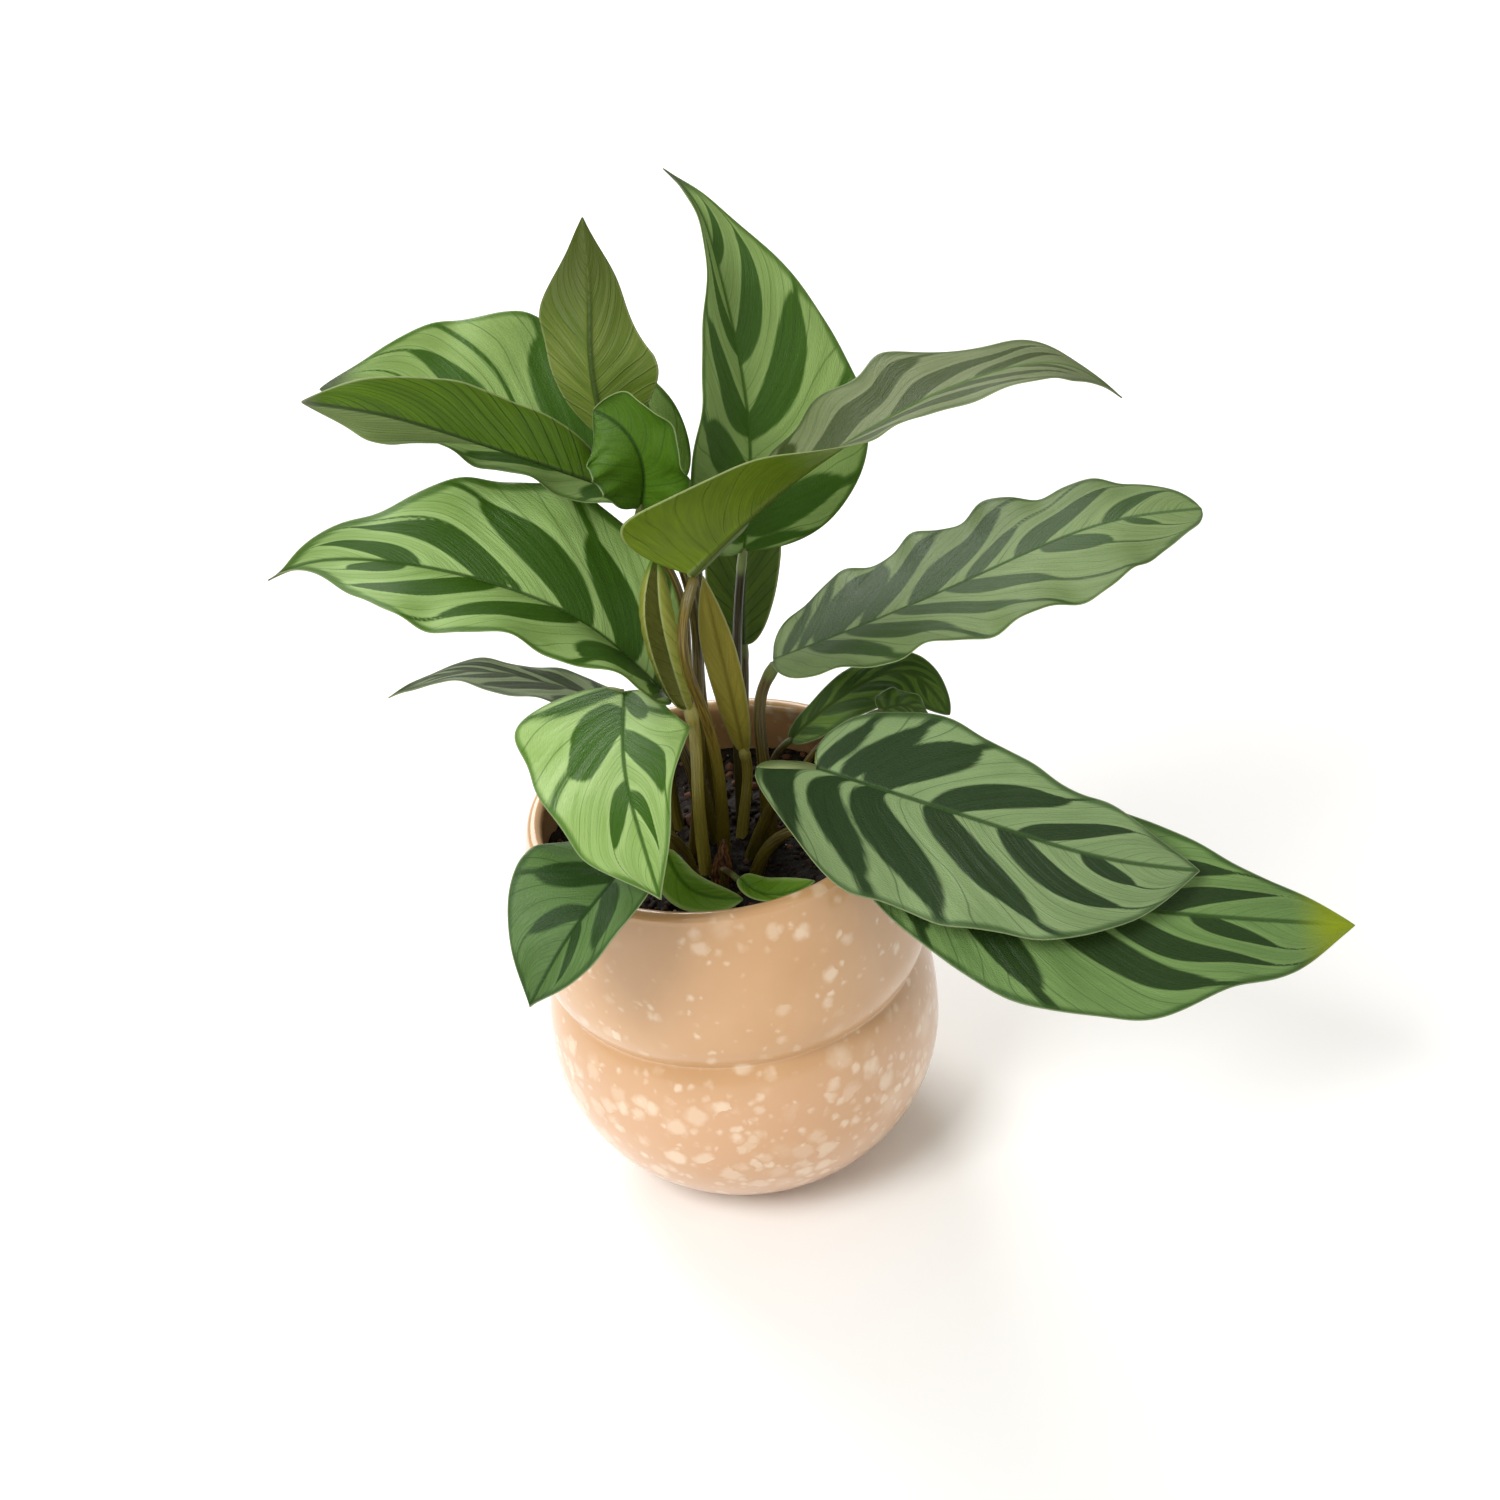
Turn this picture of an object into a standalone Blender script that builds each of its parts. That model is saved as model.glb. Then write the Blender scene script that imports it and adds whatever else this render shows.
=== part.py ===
"""A potted calathea: a two-tiered glazed pot, its soil, and each leaf as a blade on its own stalk.

Lengths in the plans below are millimetres. The origin is the middle of the pot's flat foot,
+Z is up, +X is to the right and +Y away from the side that the plant is seen from.
"""

from dataclasses import dataclass

import bpy
import bmesh
import numpy as np

MM = 0.001

# Pot
POT_FOOT_RADIUS = 29.6
POT_LIP_HEIGHT = 111.4
POT_WALL = 4.2
POT_FLOOR = 6.0
POT_SIDES = 48
LOWER_TIER = {"middle": 41.0, "radius": 54.2, "above": 37.4, "below": 48.5, "above_power": 3.0,
              "below_power": 2.0}
UPPER_TIER = {"middle": 85.0, "radius": 54.0, "above": 62.0, "below": 30.1, "above_power": 2.4,
              "below_power": 4.0}
TIER_BLEND = 0.5
HOLLOW_HEIGHTS = (96.0, 84.0, 72.0, 67.0, 63.5, 60.0, 54.0, 40.0, 22.0, 12.0)

# Soil
SOIL_HEIGHT = 97.5
SOIL_CROWN = 2.0
SEAT_GAP = 0.3
HOLE_DEPTH = 12.0
HOLE_GAP = 0.35

# Leaves
BLADE_THICKNESS = 0.7
KEEL_DEPTH = 0.7
EDGE_WIDTH = 0.8
STALK_SIDES = 8
STALK_STEPS = 8
STALK_LEAD = 5.0

POT_COLOUR = (0.66, 0.42, 0.22)
SOIL_COLOUR = (0.02, 0.012, 0.008)
STRIPED_GREEN = (0.16, 0.30, 0.08)
DEEP_GREEN = (0.07, 0.19, 0.05)
OLIVE_GREEN = (0.22, 0.30, 0.04)
YELLOW_OLIVE = (0.30, 0.27, 0.05)
STALK_BROWN = (0.08, 0.055, 0.02)
STALK_OLIVE = (0.25, 0.22, 0.05)
HUSK_BROWN = (0.16, 0.07, 0.03)


@dataclass
class Leaf:
    """One leaf: the midrib's points, which way its upper side faces, and its two halves.

    Pairs give the left half first and then the right, seen from above with the tip away.
    face, fold, curl and trim hold values spread evenly from base to tip; angles are degrees, and
    trim is what is added to the outline's share. wave holds the height of the margin's ripple,
    their count, their phase and how far the margin swings in and out.
    """

    name: str
    spine: list
    face: list
    width: tuple
    fold: tuple = ((5,), (5,))
    curl: tuple = ((0,), (0,))
    wave: tuple = (0.8, 3, 0.1, 0)
    shape: tuple = (0.36, 2.4, 1.9, 1.0)
    left_shape: tuple = ()
    trim: tuple = ((0,), (0,))
    lobe: tuple = (0, 0)
    sweep: tuple = (0, 0)
    grid: tuple = (16, 6)
    stalk: tuple = ()
    stalk_radius: tuple = (2.2, 1.2)
    seat_angle: float = 0
    seat_gap: float = 0.4
    colour: tuple = STRIPED_GREEN
    stalk_colour: tuple = STALK_BROWN


LEAVES = [
    Leaf("top",
         [(16, 26, 173), (21, 30, 201), (21, 37, 225), (18.5, 46, 247), (15, 55, 259), (8.6, 62, 266)],
         [(0.45, -0.75, 0.45), (0.45, -0.75, 0.5), (0.6, -0.7, 0.4)], (27, 33),
         fold=((30, 35, 60), (12, 8, 5)), wave=(1.2, 3, 0.1, 0.6), shape=(0.36, 2.6, 1.4, 1.1),
         trim=((0, 0, 0, -0.05, -0.18, -0.15, -0.1, -0.5, -0.9),
               (0, 0, -0.03, -0.05, -0.08, -0.12, -0.1, -0.4, -0.9)),
         stalk=((6, 9, 97), (10, 18, 140)), stalk_radius=(1.8, 1.15)),
    Leaf("right", [(20, 6, 151), (45, 6, 158), (81, 8, 169), (110, 12, 175), (135, 16, 173)],
         [(-0.35, 0.25, 0.9), (-0.3, 0.1, 0.95), (0, -0.1, 0.95)], (28, 32),
         fold=((10, 10, 5), (5, 0, 0)), wave=(1.8, 5, 0.3, 0.8), shape=(0.28, 3.4, 2.6, 0.65),
         trim=((0, 0, 0, 0, 0, -0.05, -0.15, 0, 0.1), (0, 0, -0.05, 0, 0.06, 0.1, 0.1, -0.12, 0)),
         stalk=((13, 0, 97), (14, 3, 125)), stalk_radius=(2.5, 1.5), seat_angle=40, seat_gap=0.3),
    Leaf("left",
         [(-10, -4, 153), (-27, -4, 176), (-50, -3, 191), (-76, 0, 199), (-95, 0, 200),
          (-102.3, 0, 197.4)],
         [(0.5, 0, 0.85), (0.15, -0.1, 0.95), (0, -0.2, 0.95)], (27, 30),
         fold=((18, 8, 0), (45, 32, 12)), wave=(2.0, 4, 0.45, 0.5), shape=(0.36, 2.4, 2.1, 1.0),
         trim=((0.1, 0.16, 0.08, 0, 0, 0.06, 0, -0.55, -0.95),
               (0, 0, 0, 0, -0.02, -0.08, -0.25, -0.4, -0.95)),
         lobe=(2, 3), stalk=((-8, -3, 97), (-5, -4, 125)), seat_angle=20),
    Leaf("front_left",
         [(-18.8, -6, 154.5), (-20.5, -24, 150), (-20, -40, 147), (-18, -54, 143), (-15, -70, 135.5)],
         [(-0.25, -0.7, 0.65), (-0.25, -0.7, 0.65)], (17, 27), fold=((-8, 18, 30), (10, 10, 10)),
         wave=(1.0, 2, 0, 0.4), shape=(0.34, 2.6, 1.7, 1.1),
         trim=((-0.2, -0.25, -0.05, 0.15, 0.25, 0.25, 0.2, 0.2, 0),
               (0.2, 0.2, -0.05, -0.16, -0.2, -0.15, 0, 0, 0)),
         lobe=(1, 3), stalk=((-13, -9, 97), (-14, -6, 125)), seat_angle=50),
    Leaf("low_left", [(-20, -36, 128), (-28, -50, 127), (-38, -60, 122), (-51.4, -66.5, 105.5)],
         [(-0.3, -0.7, 0.65), (-0.3, -0.8, 0.5)], (16, 21), fold=((38,), (5,)), wave=(0.8, 2, 0.3),
         shape=(0.45, 2.2, 1.7, 1.1), lobe=(2, 2), grid=(12, 6), stalk=((-8, -17, 97), (-10, -22, 116)),
         stalk_radius=(1.6, 1.0), colour=DEEP_GREEN),
    Leaf("far_left", [(-17, 22, 132), (-37, 24, 140), (-58, 26, 147), (-71, 26, 147), (-83, 24, 144)],
         [(0.2, 0.25, 0.9), (0, 0.2, 0.95)], (15, 9), fold=((0,), (10,)),
         trim=((0, 0, 0, 0, 0, -0.1, -0.3, -0.5, -0.8), (0, 0, 0, -0.1, -0.2, -0.2, -0.25, -0.5, -0.8)),
         grid=(12, 6), stalk=((-11, 12, 97), (-11, 14, 115)), stalk_radius=(1.8, 1.1),
         colour=DEEP_GREEN),
    Leaf("upright", [(-14, 9, 220), (-15, 13, 238), (-13, 21, 254), (-12.4, 31, 268.5)],
         [(0.1, 0.95, -0.1), (0.1, 0.9, -0.2)], (16, 15), fold=((10, 10, 10), (40, 25, 5)),
         wave=(0.6, 2, 0.2), shape=(0.55, 1.4, 1.6, 1.0), left_shape=(0.36, 2.0, 1.15, 1.05),
         trim=((0, 0, 0, -0.1, -0.2, -0.22, -0.2, -0.3, -0.4),
               (0, 0, 0, -0.05, -0.1, -0.12, -0.2, -0.3, -0.3)),
         grid=(12, 6), stalk=((-5, 11, 97), (0, 13, 150), (-2, 11, 195)), stalk_radius=(1.8, 1.1),
         seat_gap=0.6, colour=OLIVE_GREEN),
    Leaf("rolled", [(-17, 6, 209), (-31, 4, 218), (-49, 0, 230), (-67, -6, 242), (-83, -8, 248)],
         [(0.2, 0.35, 0.9), (0.1, 0.35, 0.9)], (13, 14), fold=((40,), (15, 10, -25, -40, -40)),
         curl=((90,), (60, 40, 10, 0)), wave=(0.6, 3, 0.3, 0.4), shape=(0.45, 2.2, 2.1, 0.9),
         grid=(14, 8), stalk=((-6, 4, 97), (0, 5, 150), (-2, 6, 190)), stalk_radius=(1.8, 1.2),
         colour=OLIVE_GREEN),
    Leaf("back_left", [(-4, 26, 193), (-27, 26, 205), (-53, 28, 219), (-72, 30, 228), (-84, 30, 233)],
         [(0.35, -0.2, 0.9), (0.2, -0.2, 0.95)], (18, 32), fold=((12,), (38, 32, 20)),
         wave=(1.5, 4, 0.7, 0.8), shape=(0.45, 2.2, 2.0, 0.9),
         trim=((0, 0, -0.1, -0.2, -0.25, -0.2, -0.1, 0, 0),
               (0.1, 0.15, 0.15, 0.12, 0.1, 0.08, 0.08, -0.1, -0.2)),
         lobe=(2, 6), sweep=(0, 8), stalk=((1, 15, 97), (1, 20, 150)), seat_angle=20),
    Leaf("arching",
         [(2, -20, 194), (24, -12, 208), (51, 2, 216), (86, 16, 220), (102, 20, 217), (116, 20, 206)],
         [(-0.6, 0.7, 0.36), (-0.5, 0.45, 0.7), (-0.35, 0.15, 0.9), (-0.15, 0.1, 0.97),
          (0.2, -0.1, 0.95)],
         (25, 25), fold=((20, 12, 30, 15, 5), (60, 20, 0, 3, 3)), wave=(1.2, 4, 0.1, 0.8),
         shape=(0.14, 2.6, 1.7, 0.95),
         trim=((0, 0, 0, 0, 0, 0, -0.05, 0.02, -0.2, 0.08, 0.05, -0.02, -0.12, 0.2, 0.15, -0.3, -0.9),
               (0, -0.05, -0.15, -0.2, -0.18, -0.1, -0.1, -0.3, -0.4, -0.4, -0.25, 0.1, 0.5, 0.5,
               0.35, 0, -0.9)),
         lobe=(2, 0), sweep=(0, 14), grid=(18, 6), stalk=((0, -8, 97), (1, -12, 146)),
         stalk_radius=(2.0, 1.3), seat_angle=30, colour=OLIVE_GREEN),
    Leaf("front_right",
         [(27, -24, 136), (46, -30, 129), (71, -38, 120), (95, -44, 111), (120, -46, 104)],
         [(0.1, -0.55, 0.83), (0.15, -0.5, 0.85)], (23, 31), fold=((5,), (30, 8, 5, 5, 5)),
         wave=(0.9, 4, 0.1, 0.6), shape=(0.38, 4.6, 2.1, 1.0), left_shape=(0.38, 2.9, 2.1, 1.0),
         trim=((0.05, 0.04, 0, -0.05, -0.18, -0.2, -0.1, 0, 0),
               (0.1, 0.1, 0, -0.02, -0.03, 0, 0.03, 0.05, 0)),
         lobe=(2, 15), grid=(18, 8), stalk=((7, -7, 97), (15, -12, 118)), seat_angle=60, seat_gap=1.0),
    Leaf("low_right", [(33, -30, 118), (57, -40, 111), (89, -48, 101), (124, -52, 93), (159, -50, 83)],
         [(0.1, -0.5, 0.85), (0.15, -0.5, 0.85)], (21, 28), wave=(0.9, 4, 0.3, 0.6),
         shape=(0.58, 1.6, 1.9, 0.95),
         trim=((0, 0.05, 0.12, 0.2, 0.22, 0.08, -0.18, -0.2, -0.3),
               (0, 0.1, 0.2, 0.22, 0.14, 0, -0.2, -0.12, -0.3)),
         stalk=((7, -17, 97), (14, -20, 112))),
    Leaf("small_right", [(22, 14, 120), (38, 16, 131), (55, 18, 134), (65, 10, 124)],
         [(-0.4, -0.5, 0.75), (0.3, -0.5, 0.75)], (5, 8), wave=(0.8, 3, 0.1),
         shape=(0.68, 2.0, 2.6, 0.8), grid=(10, 4), stalk=((13, 11, 97), (15, 12, 109)),
         stalk_radius=(1.4, 0.9), colour=DEEP_GREEN),
    Leaf("small_back", [(46, -2, 136), (53, 2, 134), (59, 2, 129)], [(0, -0.3, 0.9), (0, -0.3, 0.9)],
         (5, 5), grid=(8, 4), stalk=((18, 4, 97), (28, 0, 125)), stalk_radius=(1.3, 0.8),
         colour=DEEP_GREEN),
    Leaf("young", [(-8, 4, 202), (-6, 2, 212), (-7, 2, 220), (-11, 4, 226), (-16, 6, 229)],
         [(0.2, -0.9, 0.4), (0.2, -0.9, 0.4)], (13, 15), fold=((25, 10, -20), (35, 50, 20)),
         curl=((0,), (0, 50)), wave=(1.2, 4, 0.1, 0.5), shape=(0.55, 2.0, 2.2, 0.8), grid=(14, 8),
         stalk=((-1, 0, 97), (-3, 1, 150), (-5, 3, 188)), stalk_radius=(1.8, 0.9), seat_gap=0.8,
         colour=DEEP_GREEN),
    Leaf("furled", [(-3, -8, 149), (-4, -9, 164), (-5, -10, 181), (-5, -10, 197)],
         [(-0.5, -0.8, 0.2), (-0.5, -0.8, 0.2)], (12, 7), fold=((0,), (0,)), curl=((165,), (150,)),
         wave=(0, 1, 0), shape=(0.6, 2.0, 2.2, 0.9), grid=(12, 10),
         stalk=((-5, -12, 97), (-4, -10, 125)), stalk_radius=(2.0, 1.6), seat_gap=0.6,
         colour=YELLOW_OLIVE, stalk_colour=STALK_OLIVE),
    Leaf("sheath", [(9.3, 6, 124), (7.6, 3, 149), (6, 0, 168), (5, 0, 182)],
         [(-0.2, -0.9, 0.3), (-0.2, -0.9, 0.3)], (4, 4.5), fold=((10,), (25,)), wave=(0, 1, 0),
         shape=(0.6, 2.0, 2.0, 1.0), grid=(10, 4), stalk=((5, 1, 97), (8, 4, 110)),
         stalk_radius=(1.8, 1.4), colour=YELLOW_OLIVE, stalk_colour=STALK_OLIVE),
    Leaf("behind", [(13, 38, 137), (15, 43, 153), (19, 50, 170), (22, 58, 184)],
         [(0, 0.95, -0.2), (0, 0.95, -0.2)], (9, 10), wave=(0.5, 2, 0.1), shape=(0.5, 2.0, 1.8, 1.0),
         grid=(12, 6), stalk=((8, 18, 97), (10, 26, 118)), stalk_radius=(1.8, 1.2), colour=OLIVE_GREEN),
    Leaf("rim_low", [(-14, -30, 121), (-9, -36.2, 112.5), (-2.5, -39, 110.4), (4.2, -40.2, 109.9)],
         [(0, -0.3, 0.9), (0, -0.3, 0.9)], (3.5, 7.2), fold=((20,), (20,)), wave=(0, 1, 0),
         shape=(0.5, 2.0, 2.0, 0.8), grid=(10, 4), stalk=((-9, -27, 97), (-14, -25, 112)),
         stalk_radius=(1.2, 0.8), seat_angle=30, seat_gap=0.4, colour=OLIVE_GREEN),
    Leaf("rim_cup", [(4, -35, 113), (8, -38, 110), (15, -39, 109), (23, -38, 111)],
         [(0, 0, 1), (0, 0, 1)], (4.5, 5), fold=((20,), (20,)), wave=(0, 1, 0),
         shape=(0.5, 2.0, 2.0, 1.0), grid=(10, 4), stalk=((1, -28, 97), (0, -31, 108)),
         stalk_radius=(1.2, 0.8), seat_angle=20, seat_gap=0.5, colour=OLIVE_GREEN),
]

# The dry husk at the foot of the stalks, as a spindle with a pointed end
HUSK_ROUTE = [(-1, -17, 94), (-1, -17, 100), (0, -16, 106), (1, -15, 111)]
HUSK_RADII = (2.0, 2.8, 2.2, 0.5)


def smooth_through(knots, values, places):
    """Values of the natural cubic spline through knots, read at places."""
    values = np.asarray(values, float)
    if len(values) == 1:
        return np.repeat(values, len(places), axis=0)
    steps = np.diff(knots)
    matrix = np.eye(len(knots))
    right = np.zeros_like(values)
    for i in range(1, len(knots) - 1):
        matrix[i, i - 1:i + 2] = steps[i - 1], 2 * (steps[i - 1] + steps[i]), steps[i]
        right[i] = 6 * ((values[i + 1] - values[i]) / steps[i] - (values[i] - values[i - 1]) / steps[i - 1])
    bend = np.linalg.solve(matrix, right)
    i = np.clip(np.searchsorted(knots, places) - 1, 0, len(knots) - 2)
    h = steps[i][:, None]
    after = (places - knots[i])[:, None]
    before = (knots[i + 1] - places)[:, None]
    cubic = (bend[i] * before**3 + bend[i + 1] * after**3) / (6 * h)
    return cubic + (values[i] / h - bend[i] * h / 6) * before + (values[i + 1] / h - bend[i + 1] * h / 6) * after


def curve_through(points, places):
    """Points of the smooth curve through some points, at shares of its chord length."""
    points = np.asarray(points, float)
    chord = np.linalg.norm(np.diff(points, axis=0), axis=1)
    knots = np.concatenate([[0.0], np.cumsum(chord)])
    return smooth_through(knots / knots[-1], points, places)


def spread(values, places):
    """Values given evenly from base to tip, read at places along the leaf."""
    values = np.asarray(values, float)
    if values.ndim == 1:
        values = values[:, None]
    return smooth_through(np.linspace(0, 1, len(values)), values, places)


def unit(vectors):
    """Each vector at length one."""
    return vectors / np.linalg.norm(vectors, axis=-1, keepdims=True)


def outline(places, widest, base_power, tip_power, point):
    """Half width along the blade as a share of the widest: blunt at the base, drawn out at the tip."""
    base = np.clip(1 - places / widest, 0, 1)
    tip = np.clip((places - widest) / (1 - widest), 0, 1)
    blunt = np.sqrt(np.clip(1 - base**base_power, 0, 1))
    return np.where(places < widest, blunt, (1 - tip**tip_power) ** point)


def blade_surface(leaf):
    """Grid of points on the middle of the blade, with each row's place from base to tip."""
    rows, columns = leaf.grid
    step = np.linspace(0, 1, rows + 1)
    places = 0.55 * step + 0.45 * 0.5 * (1 - np.cos(np.pi * step))
    across = np.linspace(-1, 1, columns + 1)
    midrib = curve_through(leaf.spine, places)
    forward = unit(np.gradient(midrib, places, axis=0))
    face = spread(leaf.face, places)
    up = unit(face - (face * forward).sum(-1, keepdims=True) * forward)
    right = np.cross(forward, up)
    surface = np.zeros((rows + 1, columns + 1, 3))
    end_fade = np.sqrt(np.clip(np.sin(np.pi * places), 0, 1))[:, None]
    height, count, phase, sway = (*leaf.wave, 0)[:4]
    for side, sign in ((0, -1), (1, 1)):
        chosen = across < 0 if side == 0 else across >= 0
        out = np.abs(across[chosen])[None, :]
        share = outline(places, *(leaf.left_shape if side == 0 and leaf.left_shape else leaf.shape))[:, None]
        share = share * (1 + spread(leaf.trim[side], places))
        turn = 2 * np.pi * (count * places + phase + 0.23 * side)[:, None]
        swing = sway * np.sin(turn + 1) * end_fade * np.minimum(share, 1)
        half = leaf.width[side] * share + EDGE_WIDTH + swing
        fold = np.radians(spread(leaf.fold[side], places))
        curl = np.radians(spread(leaf.curl[side], places)) + 1e-4
        angle = fold + curl * out
        sideways = half / curl * (np.sin(angle) - np.sin(fold))
        lift = -half / curl * (np.cos(angle) - np.cos(fold))
        ripple = height * out**2 * np.sin(turn) * end_fade
        sideways = sideways - ripple * np.sin(angle)
        lift = lift + ripple * np.cos(angle)
        bulge = np.sin(np.pi * np.sqrt(np.clip(out * share / 1.1, 0, 1)))
        back = leaf.lobe[side] * bulge * np.clip(1 - places / 0.4, 0, 1)[:, None]
        back = back + leaf.sweep[side] * out * share * np.clip(1 - places / 0.6, 0, 1)[:, None]
        surface[:, chosen] = (midrib[:, None] + sign * sideways[..., None] * right[:, None]
                              + lift[..., None] * up[:, None] - back[..., None] * forward[:, None])
    return surface, places


def surface_normals(surface):
    """Upward normals of a grid of points whose rows run from base to tip."""
    along = np.gradient(surface, axis=0)
    across = np.gradient(surface, axis=1)
    return unit(np.cross(across, along))


def closed_grid(upper, lower):
    """Vertices and faces of the solid between two like grids, split alike on both."""
    rows, columns = upper.shape[:2]
    vertices = np.concatenate([upper.reshape(-1, 3), lower.reshape(-1, 3)])
    under = rows * columns
    faces = []
    for r in range(rows - 1):
        for c in range(columns - 1):
            a, b = r * columns + c, r * columns + c + 1
            d, e = a + columns, b + columns
            faces += [(a, b, e), (a, e, d)]
            faces += [(b + under, a + under, e + under), (e + under, a + under, d + under)]
    border = [c for c in range(columns)]
    border += [r * columns + columns - 1 for r in range(1, rows)]
    border += [(rows - 1) * columns + c for c in range(columns - 2, -1, -1)]
    border += [r * columns for r in range(rows - 2, 0, -1)]
    for a, b in zip(border, border[1:] + border[:1]):
        faces += [(b, a, a + under), (b, a + under, b + under)]
    return vertices, faces


def tube(points, radii, sides):
    """Vertices and faces of a closed tube along points, with a radius at each."""
    points = np.asarray(points, float)
    forward = unit(np.gradient(points, axis=0))
    helper = np.array([1.0, 0.0, 0.0])
    first = unit(np.cross(forward, helper))
    second = np.cross(forward, first)
    turn = np.arange(sides) * 2 * np.pi / sides
    ring = np.cos(turn)[None, :, None] * first[:, None] + np.sin(turn)[None, :, None] * second[:, None]
    vertices = (points[:, None] + ring * np.asarray(radii, float)[:, None, None]).reshape(-1, 3)
    faces = [tuple(range(sides))[::-1], tuple((len(points) - 1) * sides + k for k in range(sides))]
    for r in range(len(points) - 1):
        for k in range(sides):
            a, b = r * sides + k, r * sides + (k + 1) % sides
            faces.append((a, b, b + sides, a + sides))
    return vertices, faces


def stalk_route(leaf):
    """Points of the stalk from the bottom of its hole to just short of the blade, and its radii.

    It meets the blade along the midrib, or from below by the seat angle where lobes surround it.
    """
    start = np.asarray(leaf.spine[0], float)
    forward = unit(curve_through(leaf.spine, np.array([0.02]))[0] - start)
    face = np.asarray(leaf.face[0], float)
    up = unit(face - (face @ forward) * forward)
    base, tip = leaf.stalk_radius
    angle = np.radians(leaf.seat_angle)
    approach = np.cos(angle) * forward + np.sin(angle) * up
    drop = BLADE_THICKNESS / 2 + tip * np.cos(angle) if leaf.seat_angle else 0.0
    top = start - drop * up - leaf.seat_gap * approach
    foot = np.asarray(leaf.stalk[0], float)
    below = foot - np.array([0, 0, HOLE_DEPTH])
    places = np.linspace(0, 1, STALK_STEPS + 1)
    route = curve_through([foot, *leaf.stalk[1:], top - STALK_LEAD * approach, top], places)
    radii = tip + (base - tip) * (1 - places) ** 1.5
    return np.concatenate([[below], route]), np.concatenate([[base], radii])


def tier_radius(height, tier):
    """Radius of one tier of the pot at a height: a rounded barrel about its middle."""
    upper = height > tier["middle"]
    reach = np.where(upper, tier["above"], tier["below"])
    power = np.where(upper, tier["above_power"], tier["below_power"])
    share = np.clip(np.abs(height - tier["middle"]) / reach, 0, 1)
    return tier["radius"] * (1 - share**power) ** (1 / power)


def pot_radius(height):
    """Outer radius of the pot: the larger of the two tiers, blended at the crease."""
    low, high = tier_radius(height, LOWER_TIER), tier_radius(height, UPPER_TIER)
    return 0.5 * (low + high + np.sqrt((low - high) ** 2 + TIER_BLEND**2))


def inner_radius(height):
    """Radius of the pot's hollow at a height."""
    return pot_radius(np.maximum(height, 12.0)) - POT_WALL


def pot_profile():
    """The pot's section from the middle of its foot, over the lip, to the middle of its floor."""
    crease = (59.0, 62.0, 63.5, 65.0, 68.0)
    heights = np.concatenate([np.linspace(1.2, 54, 6), crease, np.linspace(74, POT_LIP_HEIGHT, 6)])
    outside = [(0.0, 0.0), (POT_FOOT_RADIUS, 0.0)] + [(float(pot_radius(h)), float(h)) for h in heights]
    lip_middle = float(pot_radius(POT_LIP_HEIGHT)) - POT_WALL / 2
    lip = []
    for turn in np.radians([45, 90, 135]):
        lip.append((lip_middle + POT_WALL / 2 * np.cos(turn), POT_LIP_HEIGHT + POT_WALL / 2 * np.sin(turn)))
    inside = [(float(inner_radius(h)), float(h)) for h in (POT_LIP_HEIGHT, *HOLLOW_HEIGHTS)]
    return outside + lip + inside + [(inside[-1][0] - 4.0, POT_FLOOR), (0.0, POT_FLOOR)]


def soil_profile():
    """The soil's section from the middle of its underside round to the middle of its top."""
    side = [(float(inner_radius(h)) - SEAT_GAP, h) for h in reversed(HOLLOW_HEIGHTS)]
    low = POT_FLOOR + SEAT_GAP
    edge = float(inner_radius(SOIL_HEIGHT)) - SEAT_GAP
    top = [(edge * k, SOIL_HEIGHT + SOIL_CROWN * (1 - k * k)) for k in (1.0, 0.8, 0.55, 0.3, 0.0)]
    return [(0.0, low), (side[0][0] - 4.2, low)] + side + top


def turned(name, profile, sides, colour, roughness):
    """A solid of revolution about Z from a section that starts and ends on the axis."""
    mesh = bpy.data.meshes.new(name)
    body = bmesh.new()
    points = [body.verts.new((radius * MM, 0.0, height * MM)) for radius, height in profile]
    edges = [body.edges.new(pair) for pair in zip(points, points[1:])]
    bmesh.ops.spin(body, geom=points + edges, cent=(0, 0, 0), axis=(0, 0, 1),
                   angle=2 * np.pi, steps=sides, use_duplicate=False)
    bmesh.ops.remove_doubles(body, verts=body.verts, dist=0.00001)
    bmesh.ops.recalc_face_normals(body, faces=body.faces)
    body.to_mesh(mesh)
    body.free()
    return placed(name, mesh, colour, roughness)


def solid(name, vertices, faces, colour, roughness):
    """A mesh object from vertices in millimetres."""
    mesh = bpy.data.meshes.new(name)
    mesh.from_pydata((np.asarray(vertices) * MM).tolist(), [], faces)
    mesh.update()
    return placed(name, mesh, colour, roughness)


def placed(name, mesh, colour, roughness):
    """The mesh as an object in the scene, with a material of its own."""
    item = bpy.data.objects.new(name, mesh)
    bpy.context.collection.objects.link(item)
    material = bpy.data.materials.new(name)
    material.use_nodes = True
    shader = material.node_tree.nodes["Principled BSDF"]
    shader.inputs["Base Color"].default_value = (*colour, 1.0)
    shader.inputs["Roughness"].default_value = roughness
    mesh.materials.append(material)
    mesh.shade_smooth()
    return item


def add_blade(leaf):
    """The blade with its real thickness and a keel along the underside of the midrib."""
    surface, places = blade_surface(leaf)
    normals = surface_normals(surface)
    keel = np.zeros(surface.shape[:2])
    keel[:, surface.shape[1] // 2] = KEEL_DEPTH * (1 - places)
    upper = surface + normals * BLADE_THICKNESS / 2
    lower = surface - normals * (BLADE_THICKNESS / 2 + keel)[..., None]
    solid("blade_" + leaf.name, *closed_grid(upper, lower), leaf.colour, 0.4)


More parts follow.
